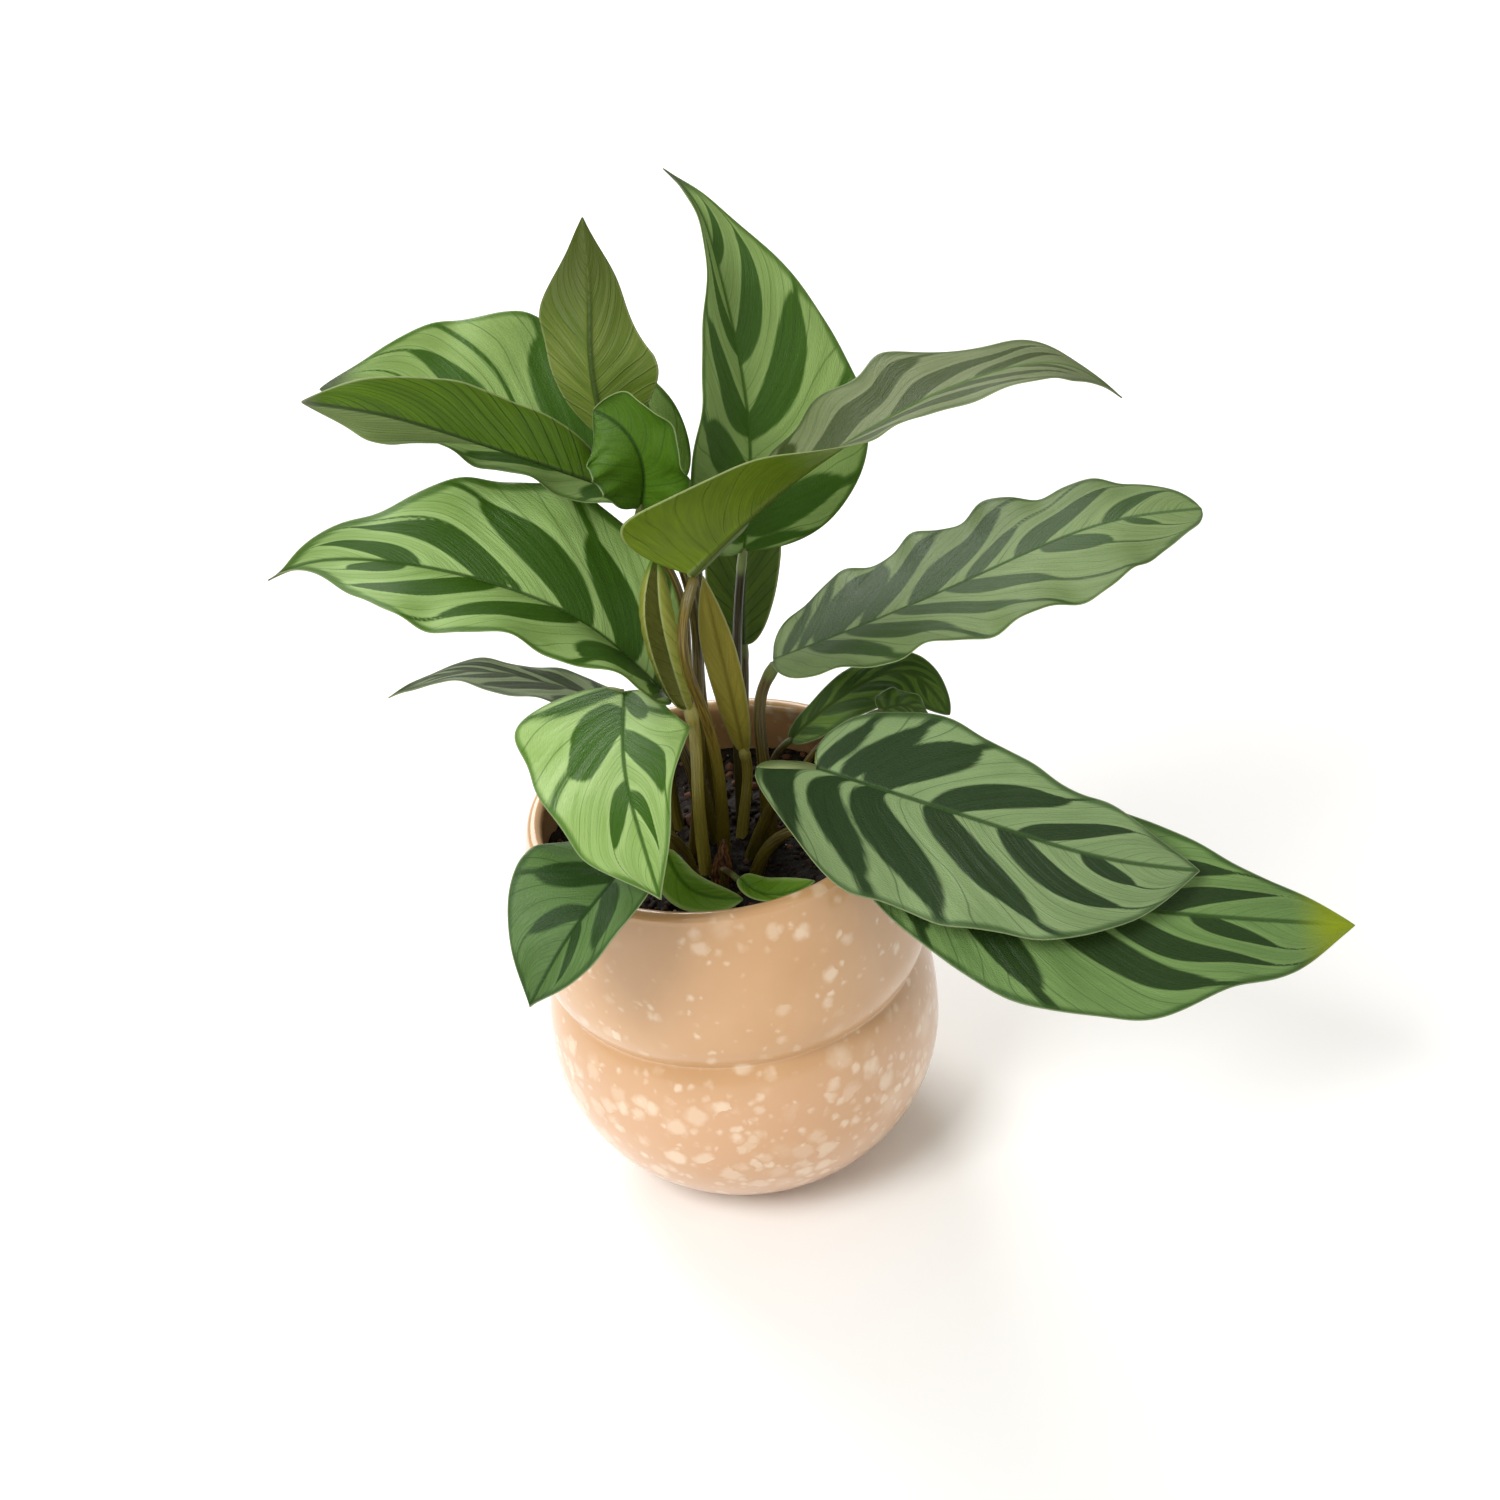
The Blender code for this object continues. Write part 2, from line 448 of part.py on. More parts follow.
def hole_cutter(name, route, radii):
    """A hidden tube a little wider than a stem, over the part of it that the soil surrounds."""
    route, radii = np.asarray(route, float), np.asarray(radii, float)
    bottom = route[0] - np.array([0, 0, HOLE_GAP])
    cutter = solid(name, *tube([bottom, *route[1:]], radii + HOLE_GAP, STALK_SIDES), SOIL_COLOUR, 1.0)
    cutter.hide_render = True
    cutter.display_type = "WIRE"
    return cutter


def cut_holes(soil, cutters):
    """Plain holes in the soil for the stems."""
    for cutter in cutters:
        cut = soil.modifiers.new(cutter.name, "BOOLEAN")
        cut.operation = "DIFFERENCE"
        cut.solver = "EXACT"
        cut.object = cutter


def add_stems(soil):
    """Every stalk and the husk, each standing in a hole of its own."""
    cutters = []
    for leaf in LEAVES:
        route, radii = stalk_route(leaf)
        solid("stalk_" + leaf.name, *tube(route, radii, STALK_SIDES), leaf.stalk_colour, 0.5)
        low = route[:, 2] < SOIL_HEIGHT + 3 * SOIL_CROWN
        last = int(np.argmin(low)) + 1
        cutters.append(hole_cutter("hole_" + leaf.name, route[:last], radii[:last]))
    solid("husk", *tube(HUSK_ROUTE, HUSK_RADII, STALK_SIDES), HUSK_BROWN, 0.8)
    cutters.append(hole_cutter("hole_husk", HUSK_ROUTE[:3], HUSK_RADII[:3]))
    cut_holes(soil, cutters)


def main():
    """Build the pot, the soil, the leaves and their stalks."""
    for item in list(bpy.data.objects):
        bpy.data.objects.remove(item, do_unlink=True)
    turned("pot", pot_profile(), POT_SIDES, POT_COLOUR, 0.2)
    soil = turned("soil", soil_profile(), POT_SIDES, SOIL_COLOUR, 0.9)
    for leaf in LEAVES:
        add_blade(leaf)
    add_stems(soil)


if __name__ == "__main__":
    main()
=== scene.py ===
"""A potted calathea dressed for its portrait: glazed pot, soil, stalks, and every striped leaf.

Plans are in millimetres: the origin is the middle of the pot's foot, +Z is up, +X is to the
right and +Y away from the side that the plant is seen from. Meshes are written in metres.
"""

import logging
from dataclasses import dataclass, field
from enum import Enum

import bpy
import numpy as np
from mathutils import Matrix


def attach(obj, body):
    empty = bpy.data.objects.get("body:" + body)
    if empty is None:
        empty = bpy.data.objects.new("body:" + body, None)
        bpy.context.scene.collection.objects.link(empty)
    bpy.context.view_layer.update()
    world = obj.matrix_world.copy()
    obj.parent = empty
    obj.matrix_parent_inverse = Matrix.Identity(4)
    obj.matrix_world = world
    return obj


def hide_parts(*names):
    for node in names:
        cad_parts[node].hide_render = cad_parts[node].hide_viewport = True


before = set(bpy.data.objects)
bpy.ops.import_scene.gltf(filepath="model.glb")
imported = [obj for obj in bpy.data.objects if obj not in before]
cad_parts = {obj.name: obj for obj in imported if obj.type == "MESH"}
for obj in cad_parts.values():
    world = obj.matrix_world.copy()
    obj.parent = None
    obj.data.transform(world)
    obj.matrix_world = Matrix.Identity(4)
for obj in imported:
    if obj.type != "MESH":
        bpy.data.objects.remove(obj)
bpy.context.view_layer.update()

MM = 0.001
LOG = logging.getLogger("calathea")

Array = np.ndarray
Pair = tuple[float, float]
Row = tuple[float, ...]


def linear(colour: str) -> tuple[float, float, float, float]:
    """Turn an sRGB hex colour to linear red, green, blue and alpha.

    Args:
        colour: Six hex digits after a hash sign.

    Returns:
        Four numbers, the last of them 1.
    """
    shares = [int(colour[i:i + 2], 16) / 255 for i in (1, 3, 5)]
    lit = [s / 12.92 if s <= 0.04045 else ((s + 0.055) / 1.055) ** 2.4 for s in shares]
    return (lit[0], lit[1], lit[2], 1.0)


class Board:
    """A material's node tree, filled one node at a time."""

    def __init__(self, name: str) -> None:
        """Start an empty material."""
        self.material = bpy.data.materials.new(name)
        self.material.use_nodes = True
        self.tree = self.material.node_tree
        self.tree.nodes.clear()

    def add(self, kind: str, links: dict | None = None, **settings: object) -> bpy.types.Node:
        """Add one node with its settings and its inputs.

        Args:
            kind: Blender's name of the node.
            links: A value or another node's output for each input, by name or number.
            **settings: Properties of the node.

        Returns:
            The new node.
        """
        node = self.tree.nodes.new(kind)
        for key, value in settings.items():
            setattr(node, key, value)
        for key, value in (links or {}).items():
            if isinstance(value, bpy.types.NodeSocket):
                self.tree.links.new(value, node.inputs[key])
            else:
                node.inputs[key].default_value = value
        return node


def smooth_through(knots: Array, values: Array, places: Array) -> Array:
    """Read the natural cubic spline through some knots.

    The second derivatives come from the usual tridiagonal system, with none at the ends.

    Args:
        knots: Rising places of the values.
        values: One row for each knot.
        places: Where to read the spline.

    Returns:
        One row for each place.
    """
    values = np.asarray(values, float)
    if len(values) == 1:
        return np.repeat(values, len(places), axis=0)
    steps = np.diff(knots)
    matrix = np.eye(len(knots))
    right = np.zeros_like(values)
    for i in range(1, len(knots) - 1):
        matrix[i, i - 1:i + 2] = steps[i - 1], 2 * (steps[i - 1] + steps[i]), steps[i]
        right[i] = 6 * ((values[i + 1] - values[i]) / steps[i] - (values[i] - values[i - 1]) / steps[i - 1])
    bend = np.linalg.solve(matrix, right)
    i = np.clip(np.searchsorted(knots, places) - 1, 0, len(knots) - 2)
    h = steps[i][:, None]
    after = (places - knots[i])[:, None]
    before = (knots[i + 1] - places)[:, None]
    cubic = (bend[i] * before**3 + bend[i + 1] * after**3) / (6 * h)
    return cubic + (values[i] / h - bend[i] * h / 6) * before + (values[i + 1] / h - bend[i + 1] * h / 6) * after


def curve_through(points: Array, places: Array) -> Array:
    """Points of the smooth curve through some points, at shares of its chord length."""
    points = np.asarray(points, float)
    chord = np.linalg.norm(np.diff(points, axis=0), axis=1)
    knots = np.concatenate([[0.0], np.cumsum(chord)])
    return smooth_through(knots / knots[-1], points, places)


def spread(values: Array, places: Array) -> Array:
    """Values given evenly from start to end, read smoothly at places between them."""
    values = np.asarray(values, float)
    values = values[:, None] if values.ndim == 1 else values
    return smooth_through(np.linspace(0, 1, len(values)), values, places)


def unit(vectors: Array) -> Array:
    """Each vector at length one."""
    return vectors / np.maximum(np.linalg.norm(vectors, axis=-1, keepdims=True), 1e-9)


def step(value: Array, low: float, high: float) -> Array:
    """A smooth rise from 0 at low to 1 at high: three times the square less twice the cube."""
    share = np.clip((value - low) / (high - low), 0, 1)
    return share * share * (3 - 2 * share)


def waves(points: Array, seed: int, size: float, count: int = 24) -> Array:
    """A smooth random field: a sum of sine waves in random directions about one size.

    Args:
        points: Places in millimetres, their coordinates last.
        seed: Start of the random draw.
        size: About how far apart its bumps are, in millimetres.
        count: How many waves are summed.

    Returns:
        Values of about minus one to one, one for each point.
    """
    draw = np.random.default_rng(seed)
    ways = unit(draw.normal(size=(count, points.shape[-1])))
    pace = 2 * np.pi / (size * draw.uniform(0.6, 1.8, count))
    turn = draw.uniform(0, 2 * np.pi, count)
    return np.sin((points @ ways.T) * pace + turn).sum(-1) / np.sqrt(count)


def grid_faces(rows: int, columns: int, round_columns: bool = False) -> Array:
    """Four-cornered faces of a grid whose vertices run row by row.

    Args:
        rows: Number of vertex rows.
        columns: Number of vertices in a row.
        round_columns: Whether the last column joins the first.

    Returns:
        An array of four vertex numbers for each face.
    """
    r = np.arange(rows - 1)[:, None]
    c = np.arange(columns if round_columns else columns - 1)[None, :]
    a = r * columns + c
    b = r * columns + (c + 1) % columns
    return np.stack([a, b, b + columns, a + columns], axis=-1).reshape(-1, 4)


def piece(name: str, vertices: Array, faces: list | Array, materials: list[bpy.types.Material],
          slots: Array | None = None, marks: dict[str, Array] | None = None) -> bpy.types.Object:
    """Make a smooth mesh object whose place is in its mesh, and let it ride on the part's body.

    Args:
        name: Name of the object.
        vertices: Places in millimetres.
        faces: Vertex numbers of each face.
        materials: The object's materials, in the order of its slots.
        slots: Which material each face has; the first where this is left out.
        marks: Arrays kept on the vertices for the materials, of one or three numbers each.

    Returns:
        The new object.
    """
    mesh = bpy.data.meshes.new(name)
    mesh.from_pydata((np.asarray(vertices) * MM).tolist(), [], [tuple(f) for f in np.asarray(faces, object).tolist()])
    for material in materials:
        mesh.materials.append(material)
    if slots is not None:
        mesh.polygons.foreach_set("material_index", np.asarray(slots, np.int32))
    for key, values in (marks or {}).items():
        values = np.asarray(values, np.float32)
        kind = "FLOAT_VECTOR" if values.ndim == 2 else "FLOAT"
        mark = mesh.attributes.new(key, kind, "POINT")
        mark.data.foreach_set("vector" if values.ndim == 2 else "value", values.ravel())
    mesh.shade_smooth()
    mesh.update()
    item = bpy.data.objects.new(name, mesh)
    bpy.context.collection.objects.link(item)
    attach(item, "root")
    return item


@dataclass(frozen=True)
class LeafTint:
    """Living leaf, grown and waxy: satin above, duller and paler veined below.

    Light from behind shows through it a little, as yellow green.
    """

    name: str
    slot: str
    ground: str
    bright: str
    patch: str
    deep: str
    border: str
    under: str
    under_deep: str
    glow: str
    rib: str = "#56742F"
    under_rib: str = "#3D4A12"
    tip: str = ""
    tip_from: float = 0.86
    tip_over: float = 0.1
    strip: str = ""
    band: float = 1.2
    shine: float = 0.42
    ghost: float = 0.25
    lines: float = 0.4

    def _places(self, board: Board) -> tuple:
        """The marks that a blade's mesh carries: vein, distance out and along, patch, margin."""
        place = board.add("ShaderNodeAttribute", attribute_name="leaf_place").outputs["Vector"]
        split = board.add("ShaderNodeSeparateXYZ", {0: place}).outputs
        patch = board.add("ShaderNodeAttribute", attribute_name="patch").outputs["Fac"]
        margin = board.add("ShaderNodeAttribute", attribute_name="margin").outputs["Fac"]
        share = board.add("ShaderNodeAttribute", attribute_name="share").outputs["Fac"]
        return place, split["X"], split["Y"], patch, margin, share

    def _fibres(self, board: Board, place: bpy.types.NodeSocket, fine: Row) -> bpy.types.NodeSocket:
        """Streaks drawn out along the side veins, as many a millimetre as fine says."""
        drawn = board.add("ShaderNodeVectorMath", {0: place, 1: fine}, operation="MULTIPLY").outputs[0]
        return board.add("ShaderNodeTexNoise", {"Vector": drawn, "Scale": 1.0, "Detail": 3.0}).outputs["Fac"]

    def _veins(self, board: Board, vein: bpy.types.NodeSocket, place: bpy.types.NodeSocket,
               apart: float, thick: float) -> bpy.types.NodeSocket:
        """Thin side veins: 1 on a line of the vein coordinate, at a somewhat uneven spacing."""
        drift = board.add("ShaderNodeTexNoise", {"Vector": place, "Scale": 0.09, "Detail": 0.0}).outputs["Fac"]
        moved = board.add("ShaderNodeMath", {0: drift, 1: 5.0, 2: vein}, operation="MULTIPLY_ADD").outputs[0]
        near = board.add("ShaderNodeMath", {0: moved, 1: apart / 2}, operation="PINGPONG").outputs[0]
        return board.add("ShaderNodeMapRange", {"Value": near, "From Min": thick, "From Max": thick * 0.2},
                         interpolation_type="SMOOTHSTEP").outputs[0]

    def _finish(self, board: Board, colour: bpy.types.NodeSocket, height: bpy.types.NodeSocket,
                rough: bpy.types.NodeSocket, through: float) -> bpy.types.Material:
        """Join colour, relief and gloss to a surface that lets some light through."""
        bump = board.add("ShaderNodeBump", {"Height": height, "Distance": 0.0004, "Strength": 0.55})
        skin = board.add("ShaderNodeBsdfPrincipled", {
            "Base Color": colour, "Roughness": rough, "Normal": bump.outputs[0]})
        skin.inputs["IOR"].default_value = 1.4
        tinted = board.add("ShaderNodeMix", {0: 0.65, 6: colour, 7: linear(self.glow)}, data_type="RGBA").outputs[2]
        lit = board.add("ShaderNodeBsdfTranslucent", {"Color": tinted, "Normal": bump.outputs[0]})
        both = board.add("ShaderNodeMixShader", {0: through, 1: skin.outputs[0], 2: lit.outputs[0]})
        board.add("ShaderNodeOutputMaterial", {"Surface": both.outputs[0]})
        return board.material

    def upper(self) -> bpy.types.Material:
        """The striped upper side: pale ground, dark feathered patches, thin veins, dark border."""
        board = Board(self.name + " leaf upper side")
        place, vein, out, patch, margin, share = self._places(board)
        fibres = self._fibres(board, place, (2.2, 0.2, 0.0))
        clouds = board.add("ShaderNodeTexNoise", {"Vector": place, "Scale": 0.12, "Detail": 2.0}).outputs["Fac"]
        grain = board.add("ShaderNodeTexNoise", {"Vector": place, "Scale": 2.6, "Detail": 2.0}).outputs["Fac"]
        pale = board.add("ShaderNodeMix", {0: fibres, 6: linear(self.ground), 7: linear(self.bright)},
                         data_type="RGBA").outputs[2]
        cloud = board.add("ShaderNodeMapRange", {"Value": clouds, "From Min": 0.4, "From Max": 0.7,
                                                 "To Max": 0.4}).outputs[0]
        pale = board.add("ShaderNodeMix", {0: cloud, 6: pale, 7: linear(self.ground)}, data_type="RGBA").outputs[2]
        beside = board.add("ShaderNodeMapRange", {"Value": patch, "From Min": -5.0, "From Max": -1.0,
                                                  "To Max": 0.6}, interpolation_type="SMOOTHSTEP").outputs[0]
        pale = board.add("ShaderNodeMix", {0: beside, 6: pale, 7: linear(self.bright)}, data_type="RGBA").outputs[2]
        dark = board.add("ShaderNodeMix", {0: fibres, 6: linear(self.deep), 7: linear(self.patch)},
                         data_type="RGBA").outputs[2]
        feather = board.add("ShaderNodeMath", {0: fibres, 1: 1.3, 2: patch}, operation="MULTIPLY_ADD").outputs[0]
        inside = board.add("ShaderNodeMapRange", {"Value": feather, "From Min": 0.1, "From Max": 1.15},
                           interpolation_type="SMOOTHSTEP").outputs[0]
        colour = board.add("ShaderNodeMix", {0: inside, 6: pale, 7: dark}, data_type="RGBA").outputs[2]
        lines = self._veins(board, vein, place, 4.6, 0.2)
        thin = board.add("ShaderNodeMath", {0: lines, 1: 0.5}, operation="MULTIPLY").outputs[0]
        colour = board.add("ShaderNodeMix", {0: thin, 6: colour, 7: linear(self.deep)}, data_type="RGBA").outputs[2]
        wander = board.add("ShaderNodeMath", {0: clouds, 1: -3.0, 2: margin}, operation="MULTIPLY_ADD").outputs[0]
        band = board.add("ShaderNodeMapRange", {"Value": wander, "From Min": self.band - 0.5,
                                                "From Max": self.band - 2.1, "To Max": 0.85},
                         interpolation_type="SMOOTHSTEP").outputs[0]
        colour = board.add("ShaderNodeMix", {0: band, 6: colour, 7: linear(self.border)},
                           data_type="RGBA").outputs[2]
        rib = board.add("ShaderNodeMapRange", {"Value": out, "From Min": 0.95, "From Max": 0.3, "To Max": 0.9},
                        interpolation_type="SMOOTHSTEP").outputs[0]
        colour = board.add("ShaderNodeMix", {0: rib, 6: colour, 7: linear(self.rib)}, data_type="RGBA").outputs[2]
        edge = board.add("ShaderNodeMapRange", {"Value": margin, "From Min": 0.4, "From Max": 0.2, "To Max": 0.5},
                         interpolation_type="SMOOTHSTEP").outputs[0]
        colour = board.add("ShaderNodeMix", {0: edge, 6: colour, 7: linear("#A9B78A")}, data_type="RGBA").outputs[2]
        colour = self._tipped(board, colour, share)
        ridges = board.add("ShaderNodeMath", {0: vein, 1: 2 * np.pi / 1.7}, operation="MULTIPLY").outputs[0]
        ridges = board.add("ShaderNodeMath", {0: ridges}, operation="SINE").outputs[0]
        relief = board.add("ShaderNodeMath", {0: ridges, 1: 0.10, 2: grain}, operation="MULTIPLY_ADD").outputs[0]
        relief = board.add("ShaderNodeMath", {0: fibres, 1: 0.6, 2: relief}, operation="MULTIPLY_ADD").outputs[0]
        rough = board.add("ShaderNodeMapRange", {"Value": grain, "From Min": 0.3, "From Max": 0.7,
                                                 "To Min": self.shine - 0.06, "To Max": self.shine + 0.1}).outputs[0]
        return self._finish(board, colour, relief, rough, 0.22)

    def _tipped(self, board: Board, colour: bpy.types.NodeSocket,
                share: bpy.types.NodeSocket) -> bpy.types.NodeSocket:
        """Turn the last of the blade to the tip's colour, where the leaf has one."""
        if not self.tip:
            return colour
        worn = board.add("ShaderNodeMapRange", {"Value": share, "From Min": self.tip_from, "From Max": self.tip_from + self.tip_over},
                         interpolation_type="SMOOTHSTEP").outputs[0]
        return board.add("ShaderNodeMix", {0: worn, 6: colour, 7: linear(self.tip)}, data_type="RGBA").outputs[2]

    def lower(self) -> bpy.types.Material:
        """The underside: duller, with thin dark veins and a ghost of the patches above."""
        board = Board(self.name + " leaf underside")
        place, vein, out, patch, margin, share = self._places(board)
        fibres = self._fibres(board, place, (1.4, 0.12, 0.0))
        clouds = board.add("ShaderNodeTexNoise", {"Vector": place, "Scale": 0.08, "Detail": 1.0}).outputs["Fac"]
        mixed = board.add("ShaderNodeMath", {0: fibres, 1: clouds}, operation="MULTIPLY").outputs[0]
        shade = board.add("ShaderNodeMapRange", {"Value": mixed, "From Min": 0.12, "From Max": 0.42}).outputs[0]
        colour = board.add("ShaderNodeMix", {0: shade, 6: linear(self.under_deep), 7: linear(self.under)},
                           data_type="RGBA").outputs[2]
        if self.strip:
            side = board.add("ShaderNodeSeparateXYZ", {0: place}).outputs["Z"]
            right = board.add("ShaderNodeMapRange", {"Value": side, "From Min": -1.0, "From Max": 1.0,
                                                     "To Max": 0.8}).outputs[0]
            colour = board.add("ShaderNodeMix", {0: right, 6: colour, 7: linear(self.strip)},
                               data_type="RGBA").outputs[2]
        feather = board.add("ShaderNodeMath", {0: fibres, 1: 1.3, 2: patch}, operation="MULTIPLY_ADD").outputs[0]
        inside = board.add("ShaderNodeMapRange", {"Value": feather, "From Min": 0.2, "From Max": 1.2,
                                                  "To Max": self.ghost}, interpolation_type="SMOOTHSTEP").outputs[0]
        colour = board.add("ShaderNodeMix", {0: inside, 6: colour, 7: linear(self.deep)}, data_type="RGBA").outputs[2]
        lines = self._veins(board, vein, place, 3.2, 0.24)
        thin = board.add("ShaderNodeMath", {0: lines, 1: self.lines}, operation="MULTIPLY").outputs[0]
        colour = board.add("ShaderNodeMix", {0: thin, 6: colour, 7: linear(self.under_rib)},
                           data_type="RGBA").outputs[2]
        rib = board.add("ShaderNodeMapRange", {"Value": out, "From Min": 0.9, "From Max": 0.4, "To Max": 0.85},
                        interpolation_type="SMOOTHSTEP").outputs[0]
        colour = board.add("ShaderNodeMix", {0: rib, 6: colour, 7: linear(self.under_rib)},
                           data_type="RGBA").outputs[2]
        edge = board.add("ShaderNodeMapRange", {"Value": margin, "From Min": 0.7, "From Max": 0.3, "To Max": 0.6},
                         interpolation_type="SMOOTHSTEP").outputs[0]
        colour = board.add("ShaderNodeMix", {0: edge, 6: colour, 7: linear("#B4BE86")}, data_type="RGBA").outputs[2]
        colour = self._tipped(board, colour, share)
        relief = board.add("ShaderNodeMath", {0: lines, 1: 0.7, 2: fibres}, operation="MULTIPLY_ADD").outputs[0]
        rough = board.add("ShaderNodeMapRange", {"Value": fibres, "To Min": self.shine,
                                                 "To Max": self.shine + 0.15}).outputs[0]
        return self._finish(board, colour, relief, rough, 0.3)


COOL = LeafTint("cool green", "leaf_striped", "#7B9560", "#96B078", "#314A24", "#22381A", "#3E5C2C",
                "#6E8540", "#52702A", "#8FB040", rib="#3C5A28")
RIGHT = LeafTint("mid green", "leaf_striped", "#6B8348", "#879D64", "#3D5A22", "#2B4616", "#405E22",
                 "#6E8540", "#52702A", "#8FB040", rib="#42602A")
WARM = LeafTint("warm green", "leaf_striped", "#7C9E4A", "#AECD80", "#3E6414", "#2A4C0A", "#3F6612",
                "#74902E", "#557612", "#9AC030", rib="#335608", tip="#4A4636", tip_from=0.93, band=2.0,
                shine=0.34)
TOP = LeafTint("fresh green", "leaf_striped", "#7F9C4E", "#9DBA6E", "#426A14", "#2F520A", "#436A14",
               "#74902E", "#557612", "#9AC030", rib="#436C18", tip="#5A6648", tip_from=0.88)
FRONT = LeafTint("light green", "leaf_striped", "#82A84A", "#B6D487", "#44700C", "#2F5606", "#47720E",
                 "#74902E", "#557612", "#9AC030", rib="#3A640A", shine=0.36)
DEEP = LeafTint("deep green", "leaf_deep", "#4C6C30", "#648648", "#2E4E1A", "#203C10", "#30521C",
                "#607A3A", "#456424", "#7CA038", rib="#2A4A16")
GREY = LeafTint("grey green", "leaf_deep", "#707E5A", "#88966E", "#3C4A2A", "#2E3A1E", "#465438",
                "#6A7A42", "#506030", "#8A9A50", rib="#3E4C2A")
SMALL = LeafTint("small green", "leaf_deep", "#587A24", "#6C8C34", "#456420", "#36541A", "#3E5E16",
                 "#667F2C", "#4A6618", "#86A82E", rib="#456018")
LOW = LeafTint("low green", "leaf_striped", "#628446", "#82A25E", "#2A4616", "#1C340E", "#30521A",
               "#6E8540", "#52702A", "#8FB040", rib="#345618", tip="#94A414")
ARCH = LeafTint("arching olive", "leaf_olive", "#707C50", "#848F66", "#4C5A30", "#3A481E", "#54643A",
                "#6E8408", "#556A00", "#A8C418", under_rib="#424E04", ghost=0.12, tip="#5A5A48",
                tip_from=0.93, lines=0.2)
UPRIGHT = LeafTint("upright olive", "leaf_olive", "#86A060", "#9AB474", "#4A6A2A", "#365218", "#5A7A2A",
                   "#7F8C42", "#5E7420", "#98B830", under_rib="#33480C", ghost=0.1, lines=0.22,
                   tip="#4C5A08", tip_from=0.35, tip_over=0.5)
ROLLED = LeafTint("rolled olive", "leaf_olive", "#8AA868", "#A2BE80", "#4A7428", "#345A18", "#4F7F26",
                  "#5E7E08", "#466402", "#9AC020", under_rib="#1E3006", tip="#7A7A66", tip_from=0.93,
                  ghost=0.15, lines=0.75, strip="#8A9A62")
BEHIND = LeafTint("shaded olive", "leaf_olive", "#7A9450", "#8CA662", "#45662A", "#34521C", "#4A6C2A",
                  "#62772A", "#4A6014", "#8CA838", under_rib="#263A0A", lines=0.8)
YOUNG = LeafTint("young green", "leaf_deep", "#3F6410", "#5C8418", "#2F5A1C", "#234814", "#3A5E0C",
                 "#5C8412", "#3E6806", "#90C020", rib="#2E5008", under_rib="#2C5010", lines=0.5)
FURLED = LeafTint("furled olive", "leaf_pale", "#9AA04A", "#B2B260", "#7A8A30", "#66741E", "#8A9640",
                  "#AEAE54", "#8C9430", "#B8BC38", under_rib="#74782A", tip="#5E8A1C", ghost=0.0, lines=0.15)
SHEATH = LeafTint("sheath olive", "leaf_pale", "#9C9438", "#B4AA4C", "#847828", "#6A601C", "#948A34",
                  "#A0963A", "#847A26", "#C8B840", rib="#8A8030", under_rib="#70641C", ghost=0.0, lines=0.15)
RIM = LeafTint("rim green", "leaf_olive", "#5E8A10", "#76A020", "#426C06", "#305404", "#98B45C",
               "#5E8A10", "#426C06", "#98C820", rib="#4E7A0C", under_rib="#305404", band=0.7, ghost=0.0)

REACH = (0.05, 0.28, 0.42, 0.28, 0.02)
PATCHES = ((0.03, 0.03, 0.9), (0.16, 0.045, 0.9), (0.33, 0.055, 0.85), (0.52, 0.05, 0.8), (0.7, 0.04, 0.6))
OPPOSITE = ((0.08, 0.03, 0.9), (0.24, 0.05, 0.9), (0.42, 0.055, 0.85), (0.61, 0.05, 0.7), (0.78, 0.03, 0.5))


@dataclass
class LeafPlan:
    """One leaf: its midrib, how its halves lie, its marks and its stalk.

    Pairs give the left half first and then the right, seen from above with the tip away.
    face, fold, curl and reach hold values spread evenly from base to tip; angles are degrees.
    reach says how far towards the tip a side vein gets by the margin, as a share of the leaf;
    a patch is its vein's start, its half width and how far out it ends, all as shares.
    """

    name: str
    tint: LeafTint
    spine: list[Row]
    face: list[Row]
    width: Pair
    fold: tuple[Row, Row] = ((5,), (5,))
    curl: tuple[Row, Row] = ((0,), (0,))
    wave: Row = (0.8, 3, 0.1, 0.0)
    shape: Row = (0.36, 2.4, 1.9, 1.0)
    left_shape: Row = ()
    trim: tuple[Row, Row] = ((0,), (0,))
    lobe: Pair = (0, 0)
    sweep: Pair = (0, 0)
    stalk: tuple[Row, ...] = ()
    stalk_radius: Pair = (2.2, 1.2)
    seat_angle: float = 0
    reach: tuple[Row, Row] = (REACH, REACH)
    patches: tuple[tuple[Row, ...], tuple[Row, ...]] = (PATCHES, OPPOSITE)
    thread: float = 2.0
    rows: int = 130
    columns: int = 34


